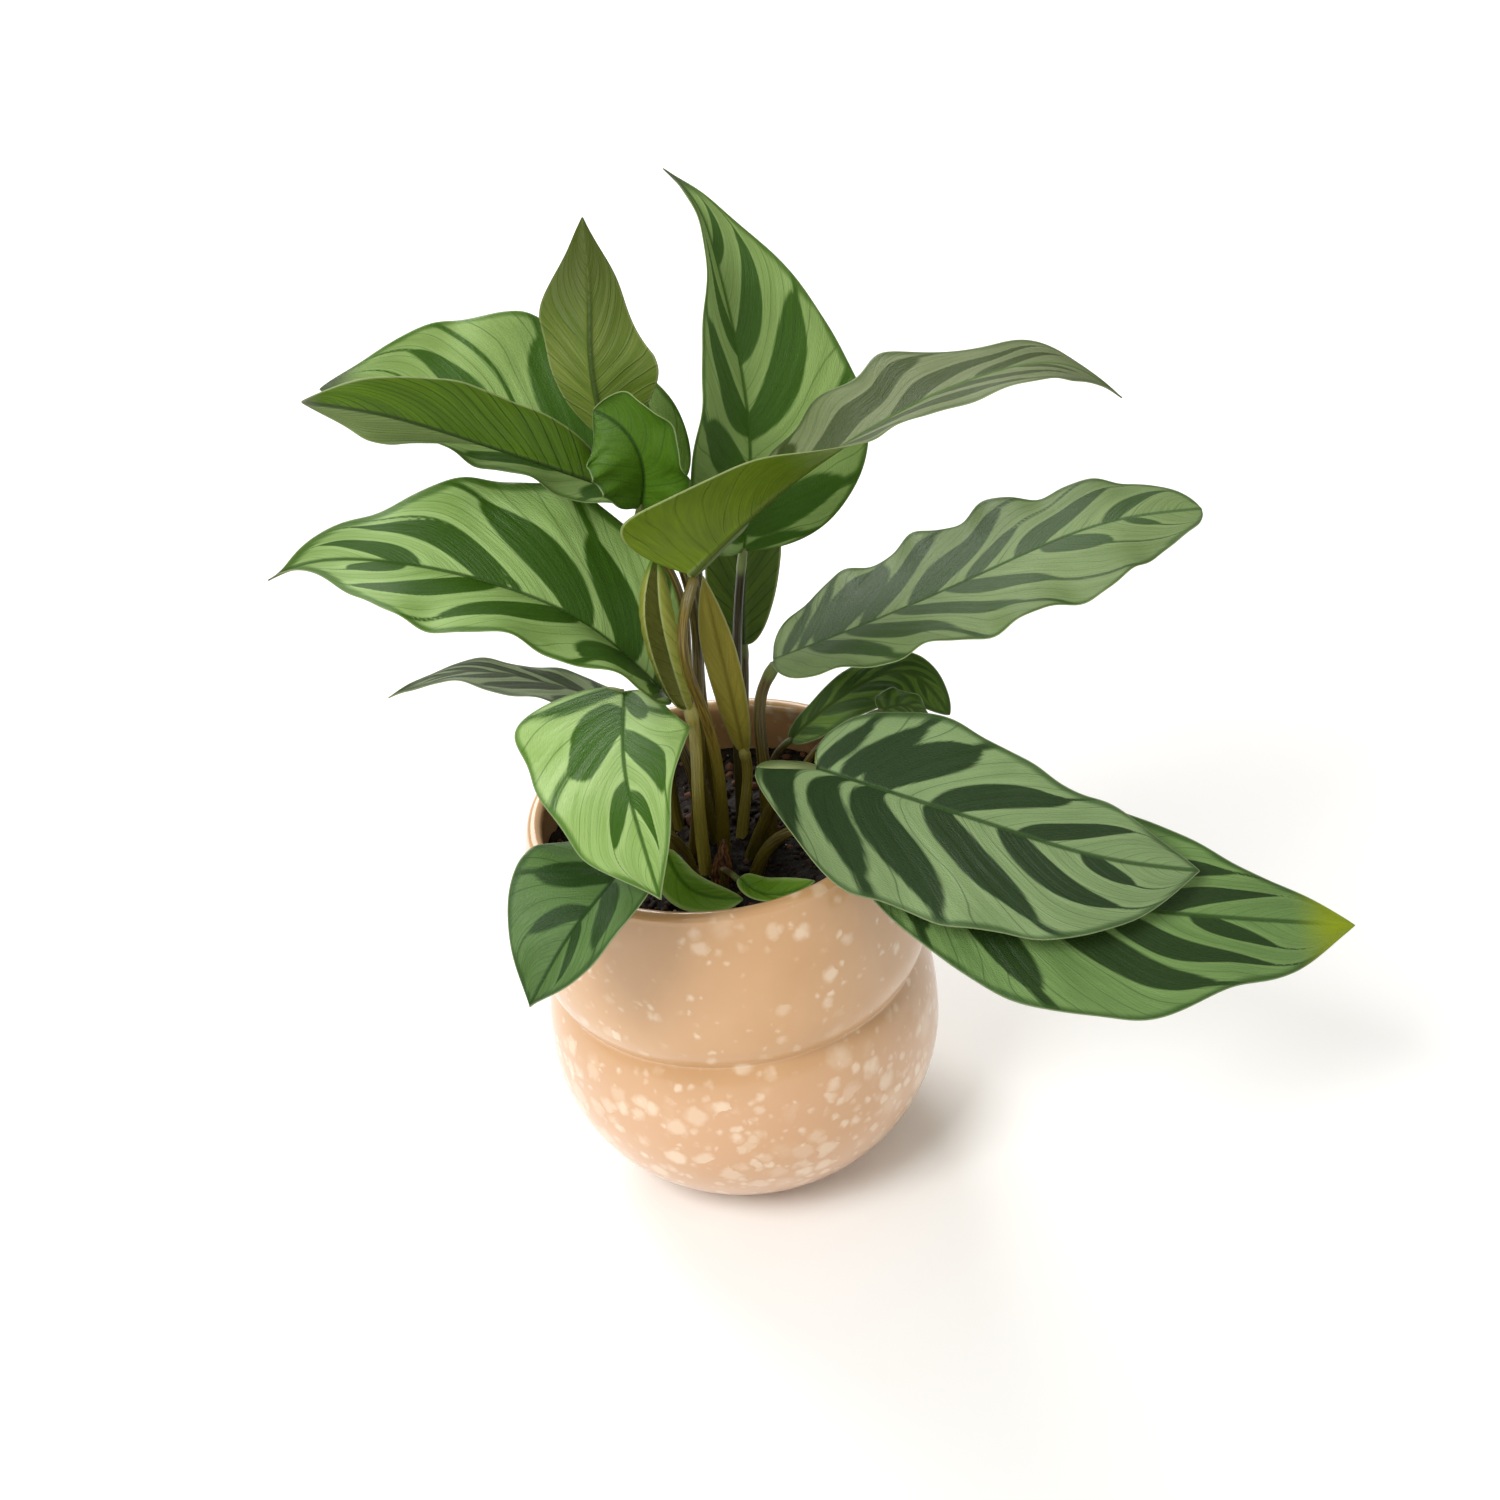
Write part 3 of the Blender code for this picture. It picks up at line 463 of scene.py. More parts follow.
LEAVES = [
    LeafPlan("top", TOP, [(16, 26, 173), (21, 30, 201), (21, 37, 225), (18.5, 46, 247), (15, 55, 259),
              (8.6, 62, 266)],
             [(0.45, -0.75, 0.45), (0.45, -0.75, 0.5), (0.6, -0.7, 0.4)], (27, 33),
             fold=((30, 35, 60), (12, 8, 5)), wave=(1.2, 3, 0.1, 0.6), shape=(0.36, 2.6, 1.4, 1.1),
             trim=((0, 0, 0, -0.05, -0.18, -0.15, -0.1, -0.5, -0.9),
                   (0, 0, -0.03, -0.05, -0.08, -0.12, -0.1, -0.4, -0.9)),
             stalk=((6, 9, 97), (10, 18, 140)), stalk_radius=(1.8, 1.15), thread=7,
             patches=(((0.05, 0.03, 0.9), (0.19, 0.045, 0.85), (0.33, 0.05, 0.85), (0.53, 0.05, 0.7)),
                      ((0.0, 0.02, 0.9), (0.07, 0.04, 0.9), (0.19, 0.02, 0.6), (0.32, 0.05, 0.9),
                       (0.51, 0.055, 0.75), (0.74, 0.035, 0.6)))),
    LeafPlan("right", RIGHT, [(20, 6, 151), (45, 6, 158), (81, 8, 169), (110, 12, 175), (135, 16, 173)],
             [(-0.35, 0.25, 0.9), (-0.3, 0.1, 0.95), (0, -0.1, 0.95)], (28, 32),
             fold=((10, 10, 5), (5, 0, 0)), wave=(1.8, 5, 0.3, 0.8), shape=(0.28, 3.4, 2.6, 0.65),
             trim=((0, 0, 0, 0, 0, -0.05, -0.15, 0, 0.1), (0, 0, -0.05, 0, 0.06, 0.1, 0.1, -0.12, 0)),
             stalk=((13, 0, 97), (14, 3, 125)), stalk_radius=(2.5, 1.5), seat_angle=40,
             reach=((0.05, 0.25, 0.32, 0.22, 0.02), (0.1, 0.3, 0.36, 0.25, 0.02)),
             patches=(((0.03, 0.014, 0.98), (0.065, 0.014, 0.98), (0.13, 0.05, 0.95), (0.22, 0.03, 0.95),
                       (0.35, 0.05, 0.85), (0.47, 0.028, 0.5), (0.6, 0.05, 0.8), (0.79, 0.03, 0.95)),
                      ((0.1, 0.03, 0.9), (0.19, 0.035, 0.85), (0.3, 0.03, 0.8), (0.43, 0.04, 0.6),
                       (0.66, 0.05, 0.4), (0.83, 0.02, 0.4)))),
    LeafPlan("left", WARM, [(-10, -4, 153), (-27, -4, 176), (-50, -3, 191), (-76, 0, 199), (-95, 0, 200),
              (-102.3, 0, 197.4)],
             [(0.5, 0, 0.85), (0.15, -0.1, 0.95), (0, -0.2, 0.95)], (27, 30),
             fold=((18, 8, 0), (45, 32, 12)), wave=(2.0, 4, 0.45, 0.5), shape=(0.36, 2.4, 2.1, 1.0), lobe=(2, 3),
             trim=((0.1, 0.16, 0.08, 0, 0, 0.06, 0, -0.55, -0.95), (0, 0, 0, 0, -0.02, -0.08, -0.25, -0.4, -0.95)),
             stalk=((-8, -3, 97), (-5, -4, 125)), seat_angle=20, thread=8,
             reach=((0.1, 0.34, 0.4, 0.3, 0.02), (0.12, 0.36, 0.42, 0.3, 0.02)),
             patches=(((0.0, 0.03, 0.9), (0.1, 0.055, 0.85), (0.3, 0.05, 0.8), (0.5, 0.055, 0.8),
                       (0.71, 0.045, 0.35)),
                      ((0.02, 0.02, 0.9), (0.13, 0.045, 0.75), (0.27, 0.055, 0.8), (0.42, 0.012, 0.13),
                       (0.48, 0.055, 0.8), (0.68, 0.05, 0.6)))),
    LeafPlan("front_left", FRONT, [(-18.8, -6, 154.5), (-20.5, -24, 150), (-20, -40, 147), (-18, -54, 143),
                    (-15, -70, 135.5)],
             [(-0.25, -0.7, 0.65), (-0.25, -0.7, 0.65)], (17, 27),
             fold=((-8, 18, 30), (10, 10, 10)), wave=(1.0, 2, 0, 0.4), shape=(0.34, 2.6, 1.7, 1.1), lobe=(1, 3),
             trim=((-0.2, -0.25, -0.05, 0.15, 0.25, 0.25, 0.2, 0.2, 0), (0.2, 0.2, -0.05, -0.16, -0.2, -0.15, 0, 0, 0)),
             stalk=((-13, -9, 97), (-14, -6, 125)), seat_angle=50, thread=2,
             reach=((0.1, 0.55, 0.58, 0.34, 0.02), (0.1, 0.48, 0.55, 0.34, 0.02)),
             patches=(((0.03, 0.05, 0.6), (0.24, 0.075, 0.8), (0.55, 0.06, 0.6)),
                      ((0.0, 0.03, 0.9), (0.15, 0.085, 0.62), (0.5, 0.07, 0.5)))),
    LeafPlan("low_left", DEEP, [(-20, -36, 128), (-28, -50, 127), (-38, -60, 122), (-51.4, -66.5, 105.5)],
             [(-0.3, -0.7, 0.65), (-0.3, -0.8, 0.5)], (16, 21),
             fold=((38,), (5,)), wave=(0.8, 2, 0.3), shape=(0.45, 2.2, 1.7, 1.1), lobe=(2, 2),
             stalk=((-8, -17, 97), (-10, -22, 116)), stalk_radius=(1.6, 1.0), rows=100, columns=26,
             patches=(((0.12, 0.04, 0.8), (0.33, 0.06, 0.8), (0.56, 0.05, 0.7)),
                      ((0.0, 0.04, 0.8), (0.25, 0.065, 0.8), (0.48, 0.05, 0.6)))),
    LeafPlan("far_left", GREY, [(-17, 22, 132), (-37, 24, 140), (-58, 26, 147), (-71, 26, 147), (-83, 24, 144)],
             [(0.2, 0.25, 0.9), (0, 0.2, 0.95)], (15, 9),
             fold=((0,), (10,)), thread=5,
             trim=((0, 0, 0, 0, 0, -0.1, -0.3, -0.5, -0.8), (0, 0, 0, -0.1, -0.2, -0.2, -0.25, -0.5, -0.8)),
             stalk=((-11, 12, 97), (-11, 14, 115)), stalk_radius=(1.8, 1.1), rows=100, columns=26),
    LeafPlan("upright", UPRIGHT, [(-14, 9, 220), (-15, 13, 238), (-13, 21, 254), (-12.4, 31, 268.5)],
             [(0.1, 0.95, -0.1), (0.1, 0.9, -0.2)], (16, 15),
             fold=((10, 10, 10), (40, 25, 5)), wave=(0.6, 2, 0.2),
             shape=(0.55, 1.4, 1.6, 1.0), left_shape=(0.36, 2.0, 1.15, 1.05),
             trim=((0, 0, 0, -0.1, -0.2, -0.22, -0.2, -0.3, -0.4), (0, 0, 0, -0.05, -0.1, -0.12, -0.2, -0.3, -0.3)),
             rows=100, columns=26,
             stalk=((-5, 11, 97), (0, 13, 150), (-2, 11, 195)), stalk_radius=(1.8, 1.1)),
    LeafPlan("rolled", ROLLED, [(-17, 6, 209), (-31, 4, 218), (-49, 0, 230), (-67, -6, 242), (-83, -8, 248)],
             [(0.2, 0.35, 0.9), (0.1, 0.35, 0.9)], (13, 14),
             fold=((40,), (15, 10, -25, -40, -40)), curl=((90,), (60, 40, 10, 0)), wave=(0.6, 3, 0.3, 0.4),
             shape=(0.45, 2.2, 2.1, 0.9),
             stalk=((-6, 4, 97), (0, 5, 150), (-2, 6, 190)), stalk_radius=(1.8, 1.2)),
    LeafPlan("back_left", TOP, [(-4, 26, 193), (-27, 26, 205), (-53, 28, 219), (-72, 30, 228), (-84, 30, 233)],
             [(0.35, -0.2, 0.9), (0.2, -0.2, 0.95)], (18, 32),
             fold=((12,), (38, 32, 20)), wave=(1.5, 4, 0.7, 0.8), shape=(0.45, 2.2, 2.0, 0.9), lobe=(2, 6),
             sweep=(0, 8), trim=((0, 0, -0.1, -0.2, -0.25, -0.2, -0.1, 0, 0), (0.1, 0.15, 0.15, 0.12, 0.1, 0.08, 0.08, -0.1, -0.2)),
             stalk=((1, 15, 97), (1, 20, 150)), seat_angle=20,
             patches=(((0.1, 0.04, 0.9), (0.3, 0.05, 0.85), (0.5, 0.05, 0.8)),
                      ((0.1, 0.05, 0.9), (0.24, 0.06, 0.9), (0.38, 0.03, 0.35), (0.5, 0.05, 0.75),
                       (0.68, 0.04, 0.4)))),
    LeafPlan("arching", ARCH, [(2, -20, 194), (24, -12, 208), (51, 2, 216), (86, 16, 220), (102, 20, 217),
                               (116, 20, 206)],
             [(-0.6, 0.7, 0.36), (-0.5, 0.45, 0.7), (-0.35, 0.15, 0.9), (-0.15, 0.1, 0.97),
              (0.2, -0.1, 0.95)], (25, 25),
             fold=((20, 12, 30, 15, 5), (60, 20, 0, 3, 3)), wave=(1.2, 4, 0.1, 0.8),
             trim=((0, 0, 0, 0, 0, 0, -0.05, 0.02, -0.2, 0.08, 0.05, -0.02, -0.12, 0.2, 0.15, -0.3, -0.9),
                   (0, -0.05, -0.15, -0.2, -0.18, -0.1, -0.1, -0.3, -0.4, -0.4, -0.25, 0.1, 0.5, 0.5, 0.35, 0,
                    -0.9)),
             shape=(0.14, 2.6, 1.7, 0.95), lobe=(2, 0), sweep=(0, 14),
             stalk=((0, -8, 97), (1, -12, 146)), stalk_radius=(2.0, 1.3), seat_angle=30, thread=3),
    LeafPlan("front_right", COOL, [(27, -24, 136), (46, -30, 129), (71, -38, 120), (95, -44, 111),
                                   (120, -46, 104)],
             [(0.1, -0.55, 0.83), (0.15, -0.5, 0.85)], (23, 31),
             fold=((5,), (30, 8, 5, 5, 5)), lobe=(2, 15), wave=(0.9, 4, 0.1, 0.6),
             shape=(0.38, 4.6, 2.1, 1.0), left_shape=(0.38, 2.9, 2.1, 1.0),
             trim=((0.05, 0.04, 0, -0.05, -0.18, -0.2, -0.1, 0, 0), (0.1, 0.1, 0, -0.02, -0.03, 0, 0.03, 0.05, 0)),
             stalk=((7, -7, 97), (15, -12, 118)), seat_angle=60, rows=150, columns=40,
             reach=((0.08, 0.33, 0.4, 0.28, 0.02), (-0.06, 0.3, 0.42, 0.3, 0.02)),
             patches=(((0.02, 0.02, 0.9), (0.085, 0.028, 0.9), (0.16, 0.05, 0.88), (0.335, 0.055, 0.85),
                       (0.56, 0.055, 0.75)),
                      ((0.045, 0.02, 0.9), (0.115, 0.025, 0.9), (0.19, 0.035, 0.95), (0.33, 0.045, 0.85),
                       (0.51, 0.055, 0.75), (0.72, 0.04, 0.42)))),
    LeafPlan("low_right", LOW, [(33, -30, 118), (57, -40, 111), (89, -48, 101), (124, -52, 93),
                                (159, -50, 83)],
             [(0.1, -0.5, 0.85), (0.15, -0.5, 0.85)], (21, 28),
             shape=(0.58, 1.6, 1.9, 0.95), wave=(0.9, 4, 0.3, 0.6),
             trim=((0, 0.05, 0.12, 0.2, 0.22, 0.08, -0.18, -0.2, -0.3),
                   (0, 0.1, 0.2, 0.22, 0.14, 0, -0.2, -0.12, -0.3)),
             stalk=((7, -17, 97), (14, -20, 112)),
             patches=(((0.1, 0.04, 0.9), (0.25, 0.05, 0.9), (0.43, 0.05, 0.85), (0.6, 0.05, 0.7)),
                      ((0.08, 0.03, 0.9), (0.2, 0.04, 0.9), (0.38, 0.045, 0.9), (0.51, 0.045, 0.8),
                       (0.69, 0.04, 0.5)))),
    LeafPlan("small_right", SMALL, [(22, 14, 120), (38, 16, 131), (55, 18, 134), (65, 10, 124)],
             [(-0.4, -0.5, 0.75), (0.3, -0.5, 0.75)], (5, 8),
             wave=(0.8, 3, 0.1), shape=(0.68, 2.0, 2.6, 0.8), rows=90, columns=18,
             stalk=((13, 11, 97), (15, 12, 109)), stalk_radius=(1.4, 0.9)),
    LeafPlan("small_back", SMALL, [(46, -2, 136), (53, 2, 134), (59, 2, 129)],
             [(0, -0.3, 0.9), (0, -0.3, 0.9)], (5, 5), rows=60, columns=16,
             stalk=((18, 4, 97), (28, 0, 125)), stalk_radius=(1.3, 0.8)),
    LeafPlan("young", YOUNG, [(-8, 4, 202), (-6, 2, 212), (-7, 2, 220), (-11, 4, 226), (-16, 6, 229)],
             [(0.2, -0.9, 0.4), (0.2, -0.9, 0.4)], (13, 15),
             fold=((25, 10, -20), (35, 50, 20)), curl=((0,), (0, 50)), wave=(1.2, 4, 0.1, 0.5),
             shape=(0.55, 2.0, 2.2, 0.8), rows=100, columns=30,
             patches=((), ()),
             stalk=((-1, 0, 97), (-3, 1, 150), (-5, 3, 188)), stalk_radius=(1.8, 0.9)),
    LeafPlan("furled", FURLED, [(-3, -8, 149), (-4, -9, 164), (-5, -10, 181), (-5, -10, 197)],
             [(-0.5, -0.8, 0.2), (-0.5, -0.8, 0.2)], (12, 7),
             fold=((0,), (0,)), curl=((165,), (150,)), wave=(0, 1, 0), shape=(0.6, 2.0, 2.2, 0.9),
             patches=((), ()), rows=90, columns=28, stalk=((-5, -12, 97), (-4, -10, 125)), stalk_radius=(2.0, 1.6)),
    LeafPlan("sheath", SHEATH, [(9.3, 6, 124), (7.6, 3, 149), (6, 0, 168), (5, 0, 182)],
             [(-0.2, -0.9, 0.3), (-0.2, -0.9, 0.3)], (4, 4.5),
             fold=((10,), (25,)), wave=(0, 1, 0), shape=(0.6, 2.0, 2.0, 1.0), rows=90, columns=14,
             patches=((), ()),
             stalk=((5, 1, 97), (8, 4, 110)), stalk_radius=(1.8, 1.4)),
    LeafPlan("behind", BEHIND, [(13, 38, 137), (15, 43, 153), (19, 50, 170), (22, 58, 184)],
             [(0, 0.95, -0.2), (0, 0.95, -0.2)], (9, 10),
             wave=(0.5, 2, 0.1), shape=(0.5, 2.0, 1.8, 1.0), rows=90, columns=22,
             stalk=((8, 18, 97), (10, 26, 118)), stalk_radius=(1.8, 1.2)),
    LeafPlan("rim_low", RIM, [(-14, -30, 121), (-9, -36.2, 112.5), (-2.5, -39, 110.4), (4.2, -40.2, 109.9)],
             [(0, -0.3, 0.9), (0, -0.3, 0.9)], (3.5, 7.2),
             fold=((20,), (20,)), wave=(0, 1, 0), shape=(0.5, 2.0, 2.0, 0.8), rows=70, columns=16,
             patches=((), ()),
             stalk=((-9, -27, 97), (-14, -25, 112)), stalk_radius=(1.2, 0.8), seat_angle=30),
    LeafPlan("rim_cup", RIM, [(4, -35, 113), (8, -38, 110), (15, -39, 109), (23, -38, 111)],
             [(0, 0, 1), (0, 0, 1)], (4.5, 5),
             fold=((20,), (20,)), wave=(0, 1, 0), shape=(0.5, 2.0, 2.0, 1.0), rows=70, columns=16,
             patches=((), ()),
             stalk=((1, -28, 97), (0, -31, 108)), stalk_radius=(1.2, 0.8), seat_angle=20),
]


@dataclass
class Blade:
    """A leaf's blade as a thin closed shell, with the marks that its finishes read."""

    plan: LeafPlan
    thickness: float = 0.45
    edge_width: float = 0.8
    keel: float = 0.7
    pucker: float = 0.16

    def _grid(self) -> tuple[Array, Array]:
        """Places along the blade and signed shares across it, closer at midrib, base and tip."""
        even = np.linspace(0, 1, self.plan.rows + 1)
        along = 0.55 * even + 0.45 * 0.5 * (1 - np.cos(np.pi * even))
        half = np.linspace(0, 1, self.plan.columns + 1)
        half = 0.75 * half + 0.25 * half**2
        return along, np.concatenate([-half[:0:-1], half])

    def _half_width(self, along: Array, side: int) -> Array:
        """Half width of the blade: blunt at the base, drawn out at the tip, as a share of its widest."""
        left = self.plan.left_shape
        widest, base_power, tip_power, point = left if side == 0 and left else self.plan.shape
        base = np.clip(1 - along / widest, 0, 1)
        tip = np.clip((along - widest) / (1 - widest), 0, 1)
        blunt = np.sqrt(np.clip(1 - base**base_power, 0, 1))
        trim = 1 + spread(self.plan.trim[side], along)[:, 0]
        return np.where(along < widest, blunt, (1 - tip**tip_power) ** point) * trim

    def _vein(self, along: Array, out: Array, reach: Row) -> Array:
        """Where on the midrib the side vein through a point starts, as a share of the leaf.

        A vein from c lies at c plus its reach times the share out to a power just over one. The
        start is found by going half way to what that asks, again and again.
        """
        start = along - 0.3 * out
        for _ in range(30):
            pull = spread(reach, np.clip(start, 0, 1).ravel())[:, 0].reshape(start.shape)
            start = 0.5 * start + 0.5 * (along - pull * out**1.15)
        return start

    def _patch(self, start: Array, out: Array, patches: tuple[Row, ...]) -> Array:
        """How far inside a dark patch a point lies, as a share of the leaf, and below 0 outside.

        Each patch swells from the midrib as a sine, narrows to a tail by a power law, and its
        tail runs on as a thin line to the margin.
        """
        best = np.full(start.shape, -1.0)
        for middle, half, end in patches:
            peak = 0.4 * end
            rise = 0.55 + 0.45 * np.sin(0.5 * np.pi * np.clip(out / peak, 0, 1))
            fall = 1 - np.clip((out - peak) / (end - peak), 0, 1) ** 2
            tail = 0.008 * np.clip(out / end, 0, 1)
            best = np.maximum(best, np.maximum(1.2 * half * rise * fall, tail) - np.abs(start - middle))
        return best

    def surface(self) -> tuple[Array, dict[str, Array]]:
        """Work out the middle surface of the blade and the marks on it.

        Each half leaves the midrib at its fold and bends by its curl; a ripple grows towards the
        margin, and the lobes at the base are carried back along the midrib by a sine bulge.

        Returns:
            A grid of points in millimetres, and grids of marks by name.
        """
        plan = self.plan
        along, across = self._grid()
        midrib = curve_through(plan.spine, along)
        length = np.linalg.norm(np.diff(midrib, axis=0), axis=1).sum()
        forward = unit(np.gradient(midrib, along, axis=0))
        face = spread(plan.face, along)
        up = unit(face - (face * forward).sum(-1, keepdims=True) * forward)
        right = np.cross(forward, up)
        shape = (len(along), len(across))
        points, start, patch = np.zeros((*shape, 3)), np.zeros(shape), np.zeros(shape)
        margin, outward = np.zeros(shape), np.zeros(shape)
        fade = np.sqrt(np.clip(np.sin(np.pi * along), 0, 1))[:, None]
        height, count, phase, sway = (*plan.wave, 0.0)[:4]
        for side, sign in ((0, -1), (1, 1)):
            chosen = across < 0 if side == 0 else across >= 0
            out = np.abs(across[chosen])[None, :]
            share = self._half_width(along, side)[:, None]
            turn = 2 * np.pi * (count * along + phase + 0.23 * side)
            half = plan.width[side] * share + self.edge_width * (1 - 0.85 * along[:, None] ** 6)
            half = half + sway * np.sin(turn + 1.0)[:, None] * fade * np.minimum(share, 1)
            fold = np.radians(spread(plan.fold[side], along))
            curl = np.radians(spread(plan.curl[side], along)) + 1e-4
            angle = fold + curl * out
            fine = 0.16 * np.sin(2.3 * turn + 1.3)
            ripple = height * (out**2 * np.sin(turn)[:, None] + out**3 * fine[:, None]) * fade
            sideways = half / curl * (np.sin(angle) - np.sin(fold)) - ripple * np.sin(angle)
            lift = -half / curl * (np.cos(angle) - np.cos(fold)) + ripple * np.cos(angle)
            bulge = np.sin(np.pi * np.sqrt(np.clip(out * share / 1.1, 0, 1)))
            back = plan.lobe[side] * bulge * np.clip(1 - along / 0.4, 0, 1)[:, None]
            back = back + plan.sweep[side] * out * share * np.clip(1 - along / 0.6, 0, 1)[:, None]
            points[:, chosen] = (midrib[:, None] + sign * sideways[..., None] * right[:, None]
                                 + lift[..., None] * up[:, None] - back[..., None] * forward[:, None])
            spots = np.broadcast_to(out, (len(along), out.shape[1]))
            start[:, chosen] = self._vein(np.broadcast_to(along[:, None], spots.shape), spots, plan.reach[side])
            patch[:, chosen] = self._patch(start[:, chosen], spots, plan.patches[side]) * length
            margin[:, chosen] = half * (1 - out)
            outward[:, chosen] = half * out
        seam = (across == 0).argmax()
        patch[:, seam] = np.maximum(patch[:, seam - 1], patch[:, seam + 1])
        start[:, seam] = along
        sides = np.sign(across)[None, :] * 40.0
        marks = {
            "leaf_place": np.stack([start * length, outward, np.broadcast_to(sides, shape)], -1),
            "patch": patch,
            "margin": np.minimum(margin, (along[:, None] * length + 0.2)),
            "share": np.broadcast_to(along[:, None], shape),
            "start": start * length,
            "outward": outward,
        }
        return points, marks

    def build(self) -> bpy.types.Object:
        """Give the surface its thickness, puckers, groove and keel, and dress it."""
        points, marks = self.surface()
        along, across = self._grid()
        normal = unit(np.cross(np.gradient(points, axis=1), np.gradient(points, axis=0)))
        start, outward = marks.pop("start"), marks.pop("outward")
        swell = np.sin(np.pi * np.clip(np.abs(across), 0, 1))[None, :] * np.sin(np.pi * along)[:, None]
        puckers = self.pucker * np.sin(2 * np.pi * start / 4.2) * swell
        rounded = 1 - np.abs(across[None, :]) ** 10
        half = 0.5 * self.thickness * (0.35 + 0.65 * rounded)
        groove = 0.22 * np.exp(-((outward / 0.5) ** 2)) * (1 - 0.7 * along[:, None])
        keel = self.keel * np.exp(-((outward / 0.75) ** 2)) * (1 - along[:, None]) ** 0.8
        upper = points + normal * (puckers + half - groove)[..., None]
        lower = points + normal * (puckers - half - keel)[..., None]
        rows, columns = points.shape[:2]
        top = grid_faces(rows, columns)
        under = rows * columns
        border = np.concatenate([np.arange(columns), np.arange(1, rows) * columns + columns - 1,
                                 (rows - 1) * columns + np.arange(columns - 2, -1, -1),
                                 np.arange(rows - 2, 0, -1) * columns])
        following = np.roll(border, -1)
        rim = np.stack([following, border, border + under, following + under], -1)
        faces = np.concatenate([top, top[:, ::-1] + under, rim])
        slots = np.concatenate([np.zeros(len(top)), np.ones(len(top) + len(rim))]).astype(int)
        doubled = {}
        for key, values in marks.items():
            flat = values.reshape(under, -1).squeeze()
            doubled[key] = np.concatenate([flat, flat])
        tint = self.plan.tint
        name = "dressed_blade_" + self.plan.name
        item = piece(name, np.concatenate([upper.reshape(-1, 3), lower.reshape(-1, 3)]), faces,
                     [finished(tint, "upper"), finished(tint, "lower")], slots, doubled)
        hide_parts("blade_" + self.plan.name)
        return item


MADE: dict[tuple[str, str], bpy.types.Material] = {}


def finished(tint: LeafTint, side: str) -> bpy.types.Material:
    """The material of one side of a leaf tint, made once and shared."""
    key = (tint.name, side)
    if key not in MADE:
        MADE[key] = getattr(tint, side)()
    return MADE[key]


@dataclass(frozen=True)
class StalkTint:
    """Living stalk, grown and waxy: long streaks, a paler sheath below and a pale joint above."""

    name: str
    slot: str
    stem: str
    streak: str
    sheath: str
    joint: str

    def material(self) -> bpy.types.Material:
        """Streaks along the stalk, and its colour from the soil up to the blade."""
        board = Board(self.name + " stalk")
        place = board.add("ShaderNodeAttribute", attribute_name="stem_place").outputs["Vector"]
        share = board.add("ShaderNodeSeparateXYZ", {0: place}).outputs["Z"]
        drawn = board.add("ShaderNodeVectorMath", {0: place, 1: (1.1, 0.05, 0.0)}, operation="MULTIPLY").outputs[0]
        streaks = board.add("ShaderNodeTexNoise", {"Vector": drawn, "Scale": 1.6, "Detail": 3.0}).outputs["Fac"]
        streaks = board.add("ShaderNodeMapRange", {"Value": streaks, "From Min": 0.4, "From Max": 0.62}).outputs[0]
        stem = board.add("ShaderNodeMix", {0: streaks, 6: linear(self.stem), 7: linear(self.streak)},
                         data_type="RGBA").outputs[2]
        pale = board.add("ShaderNodeMix", {0: streaks, 6: linear(self.sheath), 7: linear(self.streak)},
                         data_type="RGBA").outputs[2]
        low = board.add("ShaderNodeMapRange", {"Value": share, "From Min": 0.5, "From Max": 0.3, "To Max": 0.8},
                        interpolation_type="SMOOTHSTEP").outputs[0]
        colour = board.add("ShaderNodeMix", {0: low, 6: stem, 7: pale}, data_type="RGBA").outputs[2]
        high = board.add("ShaderNodeMapRange", {"Value": share, "From Min": 0.9, "From Max": 0.95, "To Max": 0.9},
                         interpolation_type="SMOOTHSTEP").outputs[0]
        colour = board.add("ShaderNodeMix", {0: high, 6: colour, 7: linear(self.joint)}, data_type="RGBA").outputs[2]
        bump = board.add("ShaderNodeBump", {"Height": streaks, "Distance": 0.0003, "Strength": 0.5})
        skin = board.add("ShaderNodeBsdfPrincipled", {"Base Color": colour, "Roughness": 0.36,
                                                      "Normal": bump.outputs[0]})
        board.add("ShaderNodeOutputMaterial", {"Surface": skin.outputs[0]})
        return board.material


BROWN = StalkTint("brown olive", "stalk_brown", "#3A2E10", "#665A1E", "#6E661E", "#5E6A2E")
DARK = StalkTint("dark brown", "stalk_brown", "#1E1A0A", "#3E3816", "#524C18", "#7A8A4E")
RED = StalkTint("red brown", "stalk_brown", "#4A3612", "#7A6A1E", "#78701E", "#5E5420")
PALE = StalkTint("yellow olive", "stalk_pale", "#8A7F2C", "#A89C44", "#9C9238", "#A8A050")
TINT_OF = {"top": DARK, "arching": RED, "furled": PALE, "sheath": PALE}


